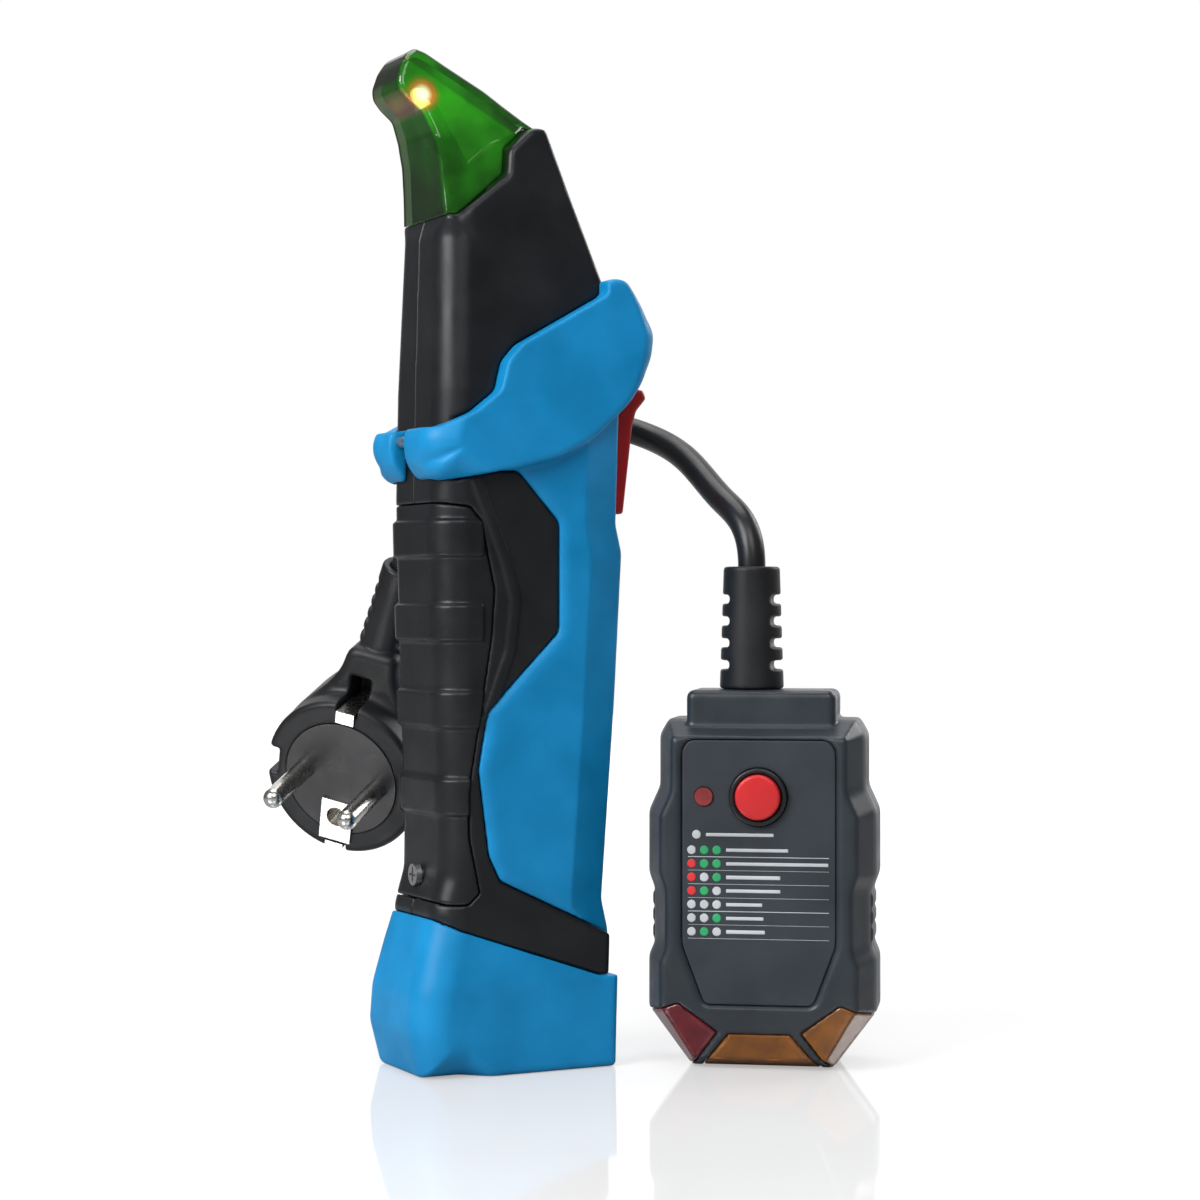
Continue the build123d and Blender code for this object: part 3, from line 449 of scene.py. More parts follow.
STEEL = metal("steel", (0.55, 0.55, 0.56), 0.32)
NICKEL = metal("nickel_plate", (0.72, 0.70, 0.66), 0.2)
COPPER = metal("copper", (0.72, 0.32, 0.16), 0.3, (1, 1, 0.3))
BOARD = circuit_board("circuit_board")


# ---------------------------------------------------------------- receiver outlines, as (x, z)
CORE = [(-19.5, 3), (-19.5, 36), (-17.2, 44), (-17.0, 58), (-18.0, 82), (-19.1, 126), (-18.6, 150),
        (-17.6, 184), (-16.2, 188.5), (-13.8, 188.2), (-1.7, 197.8), (-1.2, 203.5), (4.4, 208.7),
        (7.9, 208.7),
        (13.5, 194), (24.3, 167), (24.3, 120), (25.2, 112), (24.2, 82), (21.6, 37), (22.6, 30), (21.5, 3)]
HEAD = [(-40, 142.5), (-20, 141.5), (-12.5, 145), (-6.5, 149.8), (-4.8, 156.3), (-1.4, 160.1), (19.5, 171.8),
        (40, 176), (40, 240), (-40, 240)]
INSERT = [(-40, 129.8), (-20.4, 129.2), (-5.5, 132.2), (-0.6, 132.2), (9.4, 121.2), (9.4, 97.0), (-7.9, 79.5),
          (-10.1, 66.9), (-7.6, 48.0), (-4.8, 42.3), (40, 21), (40, 0), (-40, 0)]
STRIPE = [(-10.8, 130.5), (-3.6, 112.8), (-1.2, 104), (-2.4, 93), (-7.6, 79)]
FOOT_TOP = [(-40, 44), (-19.5, 34.4), (-14.4, 31.9), (19.3, 20.4), (40, 20.4)]
FOOT = [(-22.4, 0), (-25.0, 10), (-24.4, 18), (-21.8, 28), (-18.9, 37.6), (-16.6, 44), (30, 44), (24.0, 28),
        (23.7, 20), (23.2, 0)]
COLLAR = [(-17.5, 129.6), (-20.2, 130.6), (-22.8, 134.0), (-23.6, 139.4), (-20.0, 146.5), (-17.5, 151),
          (0, 165), (21, 175.5), (24.4, 175.3), (29.4, 170.0), (32.9, 164.0), (32.3, 158.4), (29.8, 152.6),
          (27.2, 149.5), (23.6, 146.0), (16.0, 139.2), (8.0, 135.2), (-0.6, 133.0), (-6.0, 131.5)]
HEAD_SIDE = [*HEAD[:7], (19.5, 240), (-40, 240)]
COLLAR_LEDGE = [(-60, 100), (-6.0, 144.5), (-1.8, 147.5), (0.6, 156.8), (20.2, 169.8), (60, 190), (60, 260),
                (-60, 260)]
COLLAR_RIDGE = [(-60, 134), (-22.4, 136.8), (2.5, 139), (14.7, 143.7), (23.5, 156.2), (30, 170), (60, 190),
                (60, 0), (-60, 0)]
SPINE = [(-26, 10), (-26, 165), (27.0, 165), (25.6, 121), (27.1, 114.6), (25.3, 82), (22.0, 37), (23.6, 30),
         (23.4, 10)]
LENS = [(-16.6, 187.6), (-16.9, 194), (-17.5, 201.0), (-18.6, 206.0), (-20.6, 210.8), (-23.8, 213.2),
        (-25.6, 215.2), (-26.0, 217.4), (-25.0, 220.8), (-23.2, 223.8), (-20.8, 225.2), (-18.2, 224.6),
        (-4.3, 217.1), (4.3, 211.1), (7.9, 208.8), (4.2, 209.0), (-1.7, 203.7), (-2.2, 198.0), (-13.9, 187.6)]
LENS_CAVITY = [(-14.9, 186), (-16.0, 201.0), (-17.2, 206.8), (-19.6, 211.9), (-23.1, 214.7), (-24.4, 216.8),
               (-23.5, 220.2), (-22.2, 222.6), (-20.6, 223.5), (-18.4, 222.9), (-5.0, 215.5), (4.1, 209.2),
               (3.5, 205), (-2, 194)]
LENS_HALF = [(186, 12.3), (205, 11.0), (214, 8.8), (222, 7.6), (230, 7.0)]
CAVITY = [(-15.5, 6), (-15.5, 120), (-16.5, 130), (-16.8, 150), (-15.9, 182), (-10.0, 188.0), (-2.0, 192.0),
          (4.5, 204.0), (10.3, 195.5), (21.8, 166), (21.8, 113), (22.2, 108), (19.0, 37), (17.5, 6)]
TIP_PASSAGE = [(-13.0, 183.0), (-9.5, 193.5), (-2.0, 199.0), (2.5, 195.0), (-2.0, 180.0)]
COVER = [(-30, 41.5), (-16.7, 37.6), (-12.5, 37.6), (-9.8, 40.0), (-12.2, 52), (-12.4, 62), (-7.0, 95.3),
         (-6.2, 106.2), (-9.6, 121.4), (-12.0, 124.2), (-30, 126.6)]
COVER_RIBS = (57.0, 76.0, 95.0, 113.5)
RIB_HEIGHT = 8.0
CORE_HALF = [(3, 15.6), (40, 15.0), (150, 15.4), (186, 13.6), (210, 12.2)]
MANDREL_HALF = 13.9
PLANED_SLOPE = 0.4
PLANED_FROM_X = 15.9
BLUE_WALL = 1.5
CAVITY_HALF = 13.4
COLLAR_HALF = 19.5
BLUE_HALF = 15.8
SEAM = 0.12                                 # gap on each side of a joint between two pieces
KEY_LEAN = math.radians(21.5)
KEY_CENTRE = (15.6, 188.6)
CASE_SCREWS = [(17.6, 44.0), (18.6, 104.0), (-13.2, 137.5), (12.0, 176.0)]
SCREW_SEAT_Y = 9.8
MIRROR_Y = Matrix.Diagonal((1, -1, 1, 1))
TRIGGER_SLOT = ((20, 40), (-5.2, 5.2), (123.0, 153.0))
TRIGGER = [(31.2, 123.6), (33.6, 143.6), (34.6, 147.2), (37.2, 150.2), (36.4, 152.2), (33.0, 152.4),
           (30.0, 149.6), (26.0, 147.5), (25.2, 130.5), (21.6, 130.0), (21.0, 125.6), (23.0, 124.0),
           (27.0, 123.6)]
TRIGGER_PIVOT = (23.3, 127.2)


def core_field(g):
    """The receiver's black core, closed, with its wide rounded palm side."""
    outline = g.side(CORE, 1.2)
    palm = 5.6 * smooth_step(-g.x, 0, 4) * smooth_step(-g.z, -190, -183)
    return both(outline, abs(g.y) - g.height_table(CORE_HALF), 1.3 + palm)


def front_chamfer(g, half):
    """A slab about the mid plane whose two corners towards +X are planed off."""
    planed = abs(g.y) - half + PLANED_SLOPE * (g.x - PLANED_FROM_X)
    return np.maximum(abs(g.y) - half, planed / math.hypot(1, PLANED_SLOPE))


def spine_field(g):
    """The blue spine's outer faces: flat sides, with a wide facet planed along the front edge."""
    outline = g.side(SPINE, 1.0)
    return both(outline, abs(g.y) - np.minimum(BLUE_HALF, 11.8 - 0.404 * outline), 1.0)


def case_outer(g):
    """The black core where it shows (head and insert), thinner under the blue shells."""
    stripe = path_distance(g.x, g.z, STRIPE)
    raised = 0.45 * smooth_step(-stripe, -1.5, -0.9)
    shown = either(g.side(HEAD, 1.0), g.side(INSERT, 1.0))
    core = core_field(g)
    proud = both(core - raised, shown, 0.45)
    hidden = both(core, front_chamfer(g, MANDREL_HALF))
    hidden = np.maximum(hidden, np.where(g.z < 150, spine_field(g) + BLUE_WALL, -100))
    return either(proud, hidden)


def key_block(g, half_y, half_z, depth):
    """A box standing in the head's sloping front, where the sensitivity key sits."""
    along = (g.x - KEY_CENTRE[0]) * math.cos(KEY_LEAN) + (g.z - KEY_CENTRE[1]) * math.sin(KEY_LEAN)
    up = -(g.x - KEY_CENTRE[0]) * math.sin(KEY_LEAN) + (g.z - KEY_CENTRE[1]) * math.cos(KEY_LEAN)
    return both(both(abs(g.y) - half_y, abs(up) - half_z, 1.0), abs(along) - depth), along


def battery_opening(g):
    """The bay's mouth and the rim that the battery cover sits in."""
    rim = without(g.side(COVER) - 2 * SEAM, g.block((-14.2, 60), (-CAVITY_HALF, CAVITY_HALF), (30, 130)))
    mouth = g.block((-30, -10), (-CAVITY_HALF, CAVITY_HALF), (47.5, 116))
    return either(either(rim, mouth), g.rod((-30, 0, 43.2), (1, 0, 0), 1.75, 18))


def foot_region(g, lift=0.0):
    return g.side([(x, z + lift) for x, z in FOOT_TOP] + [(40, -5), (-40, -5)])


def receiver_case():
    """Both halves of the black case, split at the mid plane."""
    g = Grid((-22, -18, -1), (28, 0.9, 212), FINE)
    outer = case_outer(g)
    plug_in = both(both(core_field(g), abs(g.y) - 13.0), g.block((-17.5, 19.5), (-13, 13), (3, 60)))
    outer = either(without(outer, foot_region(g) - SEAM, 0.4), both(plug_in, foot_region(g, 1.0)))
    cavity_half = g.height_table([(0, 11.0), (32, 11.0), (34, CAVITY_HALF), (150, CAVITY_HALF), (186, 11.4),
                                  (210, 10.0)])
    slab = np.maximum(abs(g.y) - cavity_half, front_chamfer(g, MANDREL_HALF - 0.6))
    shell = without(outer, both(g.side(CAVITY), slab, 0.5 + 4.0 * smooth_step(-g.x, 0, 4)))
    shell = without(shell, battery_opening(g), 0.25)
    shell = without(shell, g.block(*TRIGGER_SLOT), 0.3)
    shell = without(shell, key_block(g, 3.3, 6.3, 8.0)[0], 0.35)
    shell = without(shell, both(g.side(TIP_PASSAGE), abs(g.y) - 7.5))
    right = both(shell, g.y + 0.05, 0.3)
    left = right
    under_blue = np.where(g.z < 150, spine_field(g) + BLUE_WALL + 0.2, -100)
    inside = both(front_chamfer(g, MANDREL_HALF - 0.2), under_blue)
    for x, z in CASE_SCREWS:
        boss = both(g.rod((x, -CAVITY_HALF - 0.3, z), (0, 1, 0), 3.0, 30), inside)
        shank = g.rod((x, -9.5, z), (0, 1, 0), 1.35, 30)
        right = either(right, without(both(boss, g.y + 0.05), shank))
        head = g.rod((x, -40, z), (0, 1, 0), 2.6, 40 - SCREW_SEAT_Y)
        left = without(either(left, without(both(boss, g.y + 0.05), shank)), head, 0.3)
    mesh_piece("case_half_right", g, right, BLACK, "receiver", ["right_case_half"])
    mesh_piece("case_half_left", g, left, BLACK, "receiver", ["left_case_half"], MIRROR_Y)


def receiver_guard():
    """Both halves of the blue hand guard and spine."""
    g = Grid((-25.5, -21, 22), (34.5, 0.9, 178), FINE)
    ledge = np.maximum(-g.side(COLLAR_LEDGE, 1.0), 0)
    under = np.maximum(-g.side(COLLAR_RIDGE, 1.5), 0)
    half = COLLAR_HALF - either(1.0 * ledge, 0.55 * under, 0.6).clip(0)
    palm = smooth_step(-g.x, 8, 18)
    end = smooth_step(g.x, 24, 31)
    guard = both(g.side(COLLAR, 2.0), abs(g.y) - half, 1.6 + 6.4 * palm + 3.4 * end)
    guard = without(guard, g.block((-40, -17.8), (-3.6, 3.6), (120, 160)), 1.2)
    guard = without(guard, g.side(HEAD_SIDE, 1.0) - SEAM, 0.4)

    below = g.side([(x, z + 7.6) for x, z in FOOT_TOP] + [(40, 0), (-40, 0)])
    border = np.minimum(g.side(INSERT, 1.0), below)
    spine = both(spine_field(g), abs(g.y) - 15.0 - 0.5 * np.maximum(border, 0), 0.5)
    spine = both(spine, -12 - g.x)
    above_foot = g.side([(x, z + 7.6) for x, z in FOOT_TOP[1:]] + [(40, 240), (-40, 240)])
    spine = both(spine, above_foot, 0.5)
    spine = both(spine, g.side([(-30, 25), (-30, 136), (0, 141), (24, 151), (40, 151), (40, 25)]))
    blue = either(guard, spine, 1.2)
    case = case_outer(g)
    blue = without(blue, case - SEAM, 0.35)
    edge_of_insert = without(g.side(INSERT, 1.0) - SEAM, g.block((18, 40), (-40, 40), (28.0, 150)))
    blue = without(blue, edge_of_insert, 0.35)
    blue = without(blue, g.block(*TRIGGER_SLOT), 0.5)
    right = both(blue, g.y + 0.05, 0.35)
    mesh_piece("guard_right", g, right, BLUE, "receiver", ["right_blue_shell"])
    mesh_piece("guard_left", g, right, BLUE, "receiver", ["left_blue_shell"], MIRROR_Y)


def receiver_foot():
    g = Grid((-27, -18.5, -1), (26, 18.5, 46), FINE)
    half = g.height_table([(0, 17.0), (20, 17.0), (44, 15.0)])
    palm = 6.0 * smooth_step(-g.x, 6, 14)
    foot = both(g.side(FOOT, 1.2), abs(g.y) - half, 1.6 + palm)
    foot = both(foot, foot_region(g), 0.5)
    foot = without(foot, g.block((-17.7, 19.7), (-13.2, 13.2), (2.4, 60)))
    mesh_piece("foot_shell", g, foot, BLUE, "receiver", ["foot_cap"])


def receiver_tip():
    """The clear tip: a thin beaked shell."""
    g = Grid((-28, -14, 184), (10, 14, 228), DETAIL)
    below_top = -(0.518 * (g.x + 18.2) + 0.855 * (g.z - 224.6))
    half = g.height_table(LENS_HALF) - 0.42 * (5.0 - below_top).clip(0)
    lens = both(g.side(LENS, 0.8), abs(g.y) - half, 1.3)
    hollow = both(g.side(LENS_CAVITY, 0.8), abs(g.y) - half + 1.6, 0.8)
    case = case_outer(g)
    lens = without(without(lens, hollow), case - SEAM, 0.2)
    # the inner faces of the tip get the painted lamp glow
    mesh_piece("tip_lens", g, lens, TIP_CLEAR, "receiver", ["clear_tip"],
               inner=(hollow, TIP_PAINTED_GLOW))


def battery_cover():
    """The cover over the battery bay, with its four raised grip bands."""
    g = Grid((-22, -17.5, 36), (-4, 17.5, 128), DETAIL * 1.25)
    outline = g.side(CORE, 1.2)
    plate = both(outline, abs(g.y) - 15.2, 6.8)
    for low in COVER_RIBS:
        middle = low + RIB_HEIGHT / 2
        rib = both(both(outline - 0.9, abs(g.y) - 15.9, 7.4), abs(g.z - middle) - RIB_HEIGHT / 2, 0.6)
        rib = both(rib, g.x + 9.0, 0.5)
        plate = either(plate, rib, 0.7)
    cover = both(plate, g.side(COVER, 0.8), 0.45)
    cover = without(cover, both(both(-16.4 - g.x, abs(g.y) - 13.65, 4.5), abs(g.z - 80) - 50))
    cover = either(cover, g.block((-16.6, -12.6), (-6, 6), (112.0, 113.6)))
    cover = without(cover, g.rod((-30, 0, 43.2), (1, 0, 0), 1.45, 18))
    cover = without(cover, g.rod((-30, 0, 43.2), (1, 0, 0), 2.6, 12.2), 0.3)
    mesh_piece("bay_cover", g, cover, BLACK, "battery_cover", ["battery_cover"])


def controls():
    """Trigger and sensitivity key."""
    g = Grid((20, -6, 122), (38.5, 6, 154), DETAIL)
    trigger = both(g.side(TRIGGER, 0.7), abs(g.y) - 5.0, 1.5)
    trigger = either(trigger, g.block((23.4, 27), (-1.5, 1.5), (144.5, 147.0), 0.2))
    trigger = without(trigger, g.rod((TRIGGER_PIVOT[0], -12, TRIGGER_PIVOT[1]), (0, 1, 0), 1.05, 24))
    mesh_piece("trigger_lever", g, trigger, TRIGGER_RED, "trigger", ["trigger"])

    g = Grid((8, -8, 179), (21, 8, 198), DETAIL)
    top, along = key_block(g, 3.0, 6.0, 20)
    bump = 0.9 - 0.02 * (g.y ** 2 + (g.z - KEY_CENTRE[1]) ** 2 * 0.3)
    key = both(both(top, along - bump, 0.6), -3.0 - along)
    flange = both(key_block(g, 4.0, 6.7, 20)[0], abs(along + 3.4) - 0.4, 0.15)
    mesh_piece("head_key", g, either(key, flange), BLACK, "sensitivity_key", ["sensitivity_key"])


# ---------------------------------------------------------------- transmitter, its front facing -Y
MOUNTS = {mount["name"]: mount for mount in frame["record"]["mounts"]}
JOINTS = {joint["name"]: joint for joint in frame["joints"]}
TX_OUTLINE = [(16.0, 0), (25.6, 12.8), (25.6, 24.5), (24.3, 27.5), (24.3, 39.5), (25.6, 43), (25.6, 57),
              (23.1, 62.5), (23.1, 74), (21.0, 77.6)]
TX_LABEL = [(12.0, 14.8), (17.0, 28.0), (17.0, 71.0), (15.4, 73.2)]
TX_SIDE_WINDOW = [(9.3, 8.6), (17.9, 15.0), (24.4, 12.6), (40, 8), (30, -8), (14.6, 1.4)]
TX_BOTTOM_WINDOW = [(-13.0, 0.6), (-6.8, 8.2), (6.8, 8.2), (13.0, 0.6), (13.0, -5), (-13.0, -5)]
TX_SCREWS = [(17.5, 66.0), (-17.5, 66.0), (19.0, 24.0), (-19.0, 24.0)]
TX_HALF = 14.0
TX_WALL = 2.0
TX_CORD_X = -2.8
TX_BUTTON_Z = 60.7
TX_TOP = 84.0
LAMP_X = -12.1
RELIEF_LENGTH = 27.4


def frame_from(origin_mm, x_dir, z_dir):
    """The matrix that carries a local frame in millimetres to the CAD frame."""
    x, z = Vector(x_dir).normalized(), Vector(z_dir).normalized()
    y = z.cross(x)
    matrix = Matrix((x, y, z)).transposed().to_4x4()
    matrix.translation = origin_mm
    return matrix


def transmitter_frame():
    """From the record: the transmitter stands on its base, 2 mm behind which its frame's centre is."""
    into = Vector(JOINTS["test_press"]["axis"])
    base = Vector(MOUNTS["transmitter_base"]["pos_m"]) / MM
    return frame_from(base + 2.0 * into, into.cross(Vector((0, 0, 1))), (0, 0, 1))


def plug_frame():
    """From the record's pins: their line is X, and they point along Z."""
    left, right = [Vector(MOUNTS[f"plug_pin_{side}"]["pos_m"]) / MM for side in ("left", "right")]
    outward = Vector(MOUNTS["plug_pin_left"]["axis"])
    return frame_from((left + right) / 2 - 8.3 * outward, right - left, outward)


TX_PLACE = transmitter_frame()
PLUG_PLACE = plug_frame()


def both_sides(points):
    """A closed outline from its right-hand points, bottom to top."""
    return points + [(-x, z) for x, z in reversed(points)]


def transmitter_grid():
    return Grid((-27, -15.5, -1), (27, 15.5, 86), FINE)


def transmitter_outer(g, inset=0.0, edge=1.0):
    """The closed outer shape: flat front with wide tapering sides, and the block that the lead enters."""
    outline = g.side(both_sides(TX_OUTLINE), 1.0) + inset
    front = (outline + 0.2 + 0.445 * (-5.5 - g.y)) * 0.913
    rear = (outline + 0.404 * (g.y - 10.0)) * 0.927
    body = both(outline, both(front, rear, 1.0), 0.8)
    body = both(body, abs(g.y) - TX_HALF + inset, edge)
    body = both(body, (-g.y - TX_HALF + inset + 0.3 * (14.0 - g.z)) * 0.958, 0.4)
    boss = g.block((-16.6 + inset, 16.6 - inset), (-9 + inset, 9 - inset), (66, TX_TOP - inset), 1.8)
    return either(body, boss, 0.8)


def window_fields(g):
    """The three windows, each a piece of the shell's wall."""
    front = g.y - 4.0
    side = g.side(TX_SIDE_WINDOW)
    mirrored = g.side([(-x, z) for x, z in TX_SIDE_WINDOW])
    bottom = g.side(TX_BOTTOM_WINDOW)
    return {name: both(region, front) for name, region in (
        ("red_window", mirrored), ("amber_side_window", side), ("amber_bottom_window", bottom))}


def transmitter():
    """Front and rear covers, split at y = 0, with the windows, side grips and screw wells."""
    g = transmitter_grid()
    outer = transmitter_outer(g)
    hollow = transmitter_outer(g, TX_WALL, 0.6)
    grips = 1e3
    for lift in (0, 3.7, 7.4):
        bar = both(abs(g.z - 29.8 - lift) - 1.6, abs(g.y - 2.0) - 6.5, 0.5)
        bar = both(bar, abs(abs(g.x) - 23.6) - 1.1, 0.7)
        grips = np.minimum(grips, bar)
    shell = without(either(outer, grips, 0.4), hollow)
    windows = window_fields(g)
    covers = shell
    for region in windows.values():
        covers = without(covers, region - SEAM, 0.4)
    label_floor = both(g.block((-13.2, 13.2), (-12.4, -11.0), (20, 70)), outer)
    covers = either(covers, label_floor)
    recess = g.side(both_sides(TX_LABEL), 1.5) - 0.1 - 1.4 * (-13.25 - g.y).clip(0)
    covers = without(covers, both(recess, g.y + TX_HALF - 1.3), 0.2)
    covers = without(covers, g.rod((0, -20, TX_BUTTON_Z), (0, 1, 0), 6.4, 10))
    covers = without(covers, g.rod((LAMP_X, -20, TX_BUTTON_Z), (0, 1, 0), 2.05, 10))
    covers = without(covers, g.rod((TX_CORD_X, 0, 60), (0, 0, 1), 3.4, 40), 0.3)
    for x, z in TX_SCREWS:
        covers = either(covers, both(g.rod((x, -12.5, z), (0, 1, 0), 2.8, 26.5), outer))
        covers = without(covers, g.rod((x, -6.5, z), (0, 1, 0), 1.35, 40))
        covers = without(covers, g.rod((x, TX_HALF - 3.0, z), (0, 1, 0), 2.6, 10), 0.3)
    front = both(covers, g.y + 0.05, 0.4)
    rear = both(covers, 0.05 - g.y, 0.4)
    mesh_piece("tx_front", g, front, GREY, "transmitter", ["transmitter_front_cover"], TX_PLACE)
    mesh_piece("tx_rear", g, rear, GREY, "transmitter", ["transmitter_rear_cover"], TX_PLACE)
    for name, region in windows.items():
        pane = both(shell + 0.12, region, 0.4)
        material, slot = WINDOW_AMBER, "window_amber"
        if name == "red_window":
            material, slot = WINDOW_RED, "window_red"
        mesh_piece(f"pane_{name}", g, pane, material, "transmitter", [name], TX_PLACE)


def transmitter_face():
    """Label plate, bezel and push button, with the lamp's hole cut through the plate."""
    g = Grid((-18.5, -14.6, 13), (18.5, -12.6, 75), DETAIL * 0.8)
    plate = both(g.side(both_sides(TX_LABEL), 1.4) + 0.1, abs(g.y + 13.0) - 0.35, 0.12)
    plate = without(plate, g.rod((0, -20, TX_BUTTON_Z), (0, 1, 0), 6.4, 10))
    plate = without(plate, g.rod((LAMP_X, -20, TX_BUTTON_Z), (0, 1, 0), 2.05, 10))
    mesh_piece("label_plate", g, plate, LABEL, "transmitter", ["legend_plate"], TX_PLACE)

    g = Grid((-8, -17.5, 52), (8, -6, 69), DETAIL)
    across = np.sqrt(g.x ** 2 + (g.z - TX_BUTTON_Z) ** 2)
    ring = both(across - 6.33, abs(g.y + 13.0) - 1.9, 0.3)
    ring = without(ring, both(across - 5.15, g.y), 0.5)
    mesh_piece("button_ring", g, ring, BEZEL, "transmitter", ["button_bezel"], TX_PLACE)
    crown = -16.4 + 0.012 * across ** 2
    cap = both(across - 5.0, both(crown - g.y, g.y + 10.8), 0.55)
    flange = both(across - 6.1, abs(g.y + 10.35) - 0.45)
    stem = both(across - 1.4, abs(g.y + 8.5) - 2.0)
    mesh_piece("push_cap", g, either(either(cap, flange), stem), BUTTON_RED, "test_button",
               ["test_button"], TX_PLACE)


def legend():
    """A generic status table on the label: three lamp dots a row, and plain bars instead of words."""
    dots = {"white": [(-13.7, 52.3)], "green": [], "red": []}
    rows = ("wgg", "rgg", "rwg", "rgw", "www", "wwg", "wgw")
    tone = {"w": "white", "g": "green", "r": "red"}
    lines = []
    for i, row in enumerate(rows):
        z = 48.9 - 3.0 * i
        for x, letter in zip((-14.8, -12.0, -9.2), row):
            dots[tone[letter]].append((x, z))
        lines.append((-15.7, 15.6, z - 1.5, 0.09))
    words = [(-11.6, 3.4, 52.3), (-7.2, 6.6, 48.9), (-7.2, 15.4, 45.9), (-7.2, 4.9, 42.9), (-7.2, 4.9, 39.9),
             (-7.2, 0.9, 36.9), (-7.2, 1.2, 33.9), (-7.2, 1.5, 30.9)]
    g = Grid((-17, -13.7, 27), (17, -13.1, 55), 0.16)
    for tone_name, material in (("white", INK_WHITE), ("green", INK_GREEN), ("red", INK_RED)):
        ink = 1e3
        for x, z in dots[tone_name]:
            ink = np.minimum(ink, np.sqrt((g.x - x) ** 2 + (g.z - z) ** 2) - 1.0)
        if tone_name == "white":
            for low, high, z, half in lines:
                line = np.maximum(abs(g.x - (low + high) / 2) - (high - low) / 2, abs(g.z - z) - half)
                ink = np.minimum(ink, line)
            for low, high, z in words:
                dash = np.maximum(abs(g.x - (low + high) / 2) - (high - low) / 2, abs(g.z - z) - 0.42)
                ink = np.minimum(ink, dash)
        mesh_piece(f"legend_{tone_name}", g, both(ink, abs(g.y + 13.37) - 0.1), material,
                   "transmitter", (), TX_PLACE)


def slotted_sleeve(g, low_r, high_r, length, slots, notch_from):
    """A tapering sleeve on Z, notched on both sides as a flexible strain relief is."""
    across = np.sqrt(g.x ** 2 + g.y ** 2)
    sleeve = both(across - low_r + (low_r - high_r) * g.z / length, abs(g.z - length / 2) - length / 2, 0.7)
    for low, high in slots:
        half = (high - low) / 2
        reach = abs(g.x) - notch_from
        slot = both(-reach, abs(g.z - (low + high) / 2) - half, 0.8)
        sleeve = without(sleeve, slot, 0.5)
    return without(sleeve, across - 3.12)


def lead_grips():
    g = Grid((-8, -8, -0.6), (8, 8, RELIEF_LENGTH + 0.8), DETAIL)
    slots = [(4.4 + 4.9 * i, 6.4 + 4.9 * i) for i in range(4)]
    sleeve = slotted_sleeve(g, 7.2, 6.3, RELIEF_LENGTH, slots, 4.6)
    place = TX_PLACE @ Matrix.Translation((TX_CORD_X, 0, TX_TOP + 0.1))
    mesh_piece("lead_grip", g, sleeve, RUBBER, "transmitter", ["cord_grip"], place)


PLUG_R = 19.6
PLUG_BACK = -23.0
NECK_TILT = math.radians(8.0)


def plug():
    """Moulded right-angle plug: round face part, shoulders and a slotted neck that leans sideways."""
    g = Grid((-21, -21, -24.5), (21, 53, 1.5), FINE)
    across = np.sqrt(g.x ** 2 + g.y ** 2)
    body = both(across - PLUG_R, abs(g.z - PLUG_BACK / 2) + PLUG_BACK / 2, 1.4)
    shoulder = [(-18.0, 7.0), (-6.0, 24.0), (-4.2, 31.0), (8.6, 31.0), (8.6, 24.0), (18.0, 7.0)]
    neck = both(polygon_distance(g.x, g.y, rounded(shoulder, 3.0)), abs(g.z + 15.0) - 8.0, 2.2)
    body = either(body, neck, 2.0)
    for side in (-1, 1):
        groove = g.block(tuple(sorted((side * 16.6, side * 30))), (-3.2, 3.2), (PLUG_BACK - 1, 1))
        body = without(body, groove, 0.8)
        body = without(body, g.block((-2.6, 2.6), tuple(sorted((side * 16.98, side * 24))), (-14, 1)), 0.3)
    body = without(body, g.rod((0, 0, -9.05), (0, 0, 1), 14.25, 20), 0.3)
    direction = (math.sin(NECK_TILT), math.cos(NECK_TILT), 0.0)
    start = ((31.0 - 0.7 - 15.0) * math.tan(NECK_TILT), 31.0 - 0.7, -15.0)
    length = 20.5 / math.cos(NECK_TILT) + 0.7
    wx, wy, wz = g.x - start[0], g.y - start[1], g.z - start[2]
    along = wx * direction[0] + wy * direction[1]
    sideways = wx * direction[1] - wy * direction[0]
    radius = np.sqrt(sideways ** 2 + wz ** 2)
    sleeve = both(radius - 6.3 + 1.3 * along / length, abs(along - length / 2) - length / 2, 0.6)
    for i in range(5):
        middle = 2.75 + 3.3 * i
        slot = both(4.3 - abs(sideways), abs(along - middle) - 0.75, 0.5)
        sleeve = without(sleeve, slot, 0.4)
    body = either(body, sleeve, 0.5)
    body = without(body, both(radius - 3.12, -4.0 - along))
    mesh_piece("plug_moulding", g, body, RUBBER, "transmitter", ["plug_body"], PLUG_PLACE)


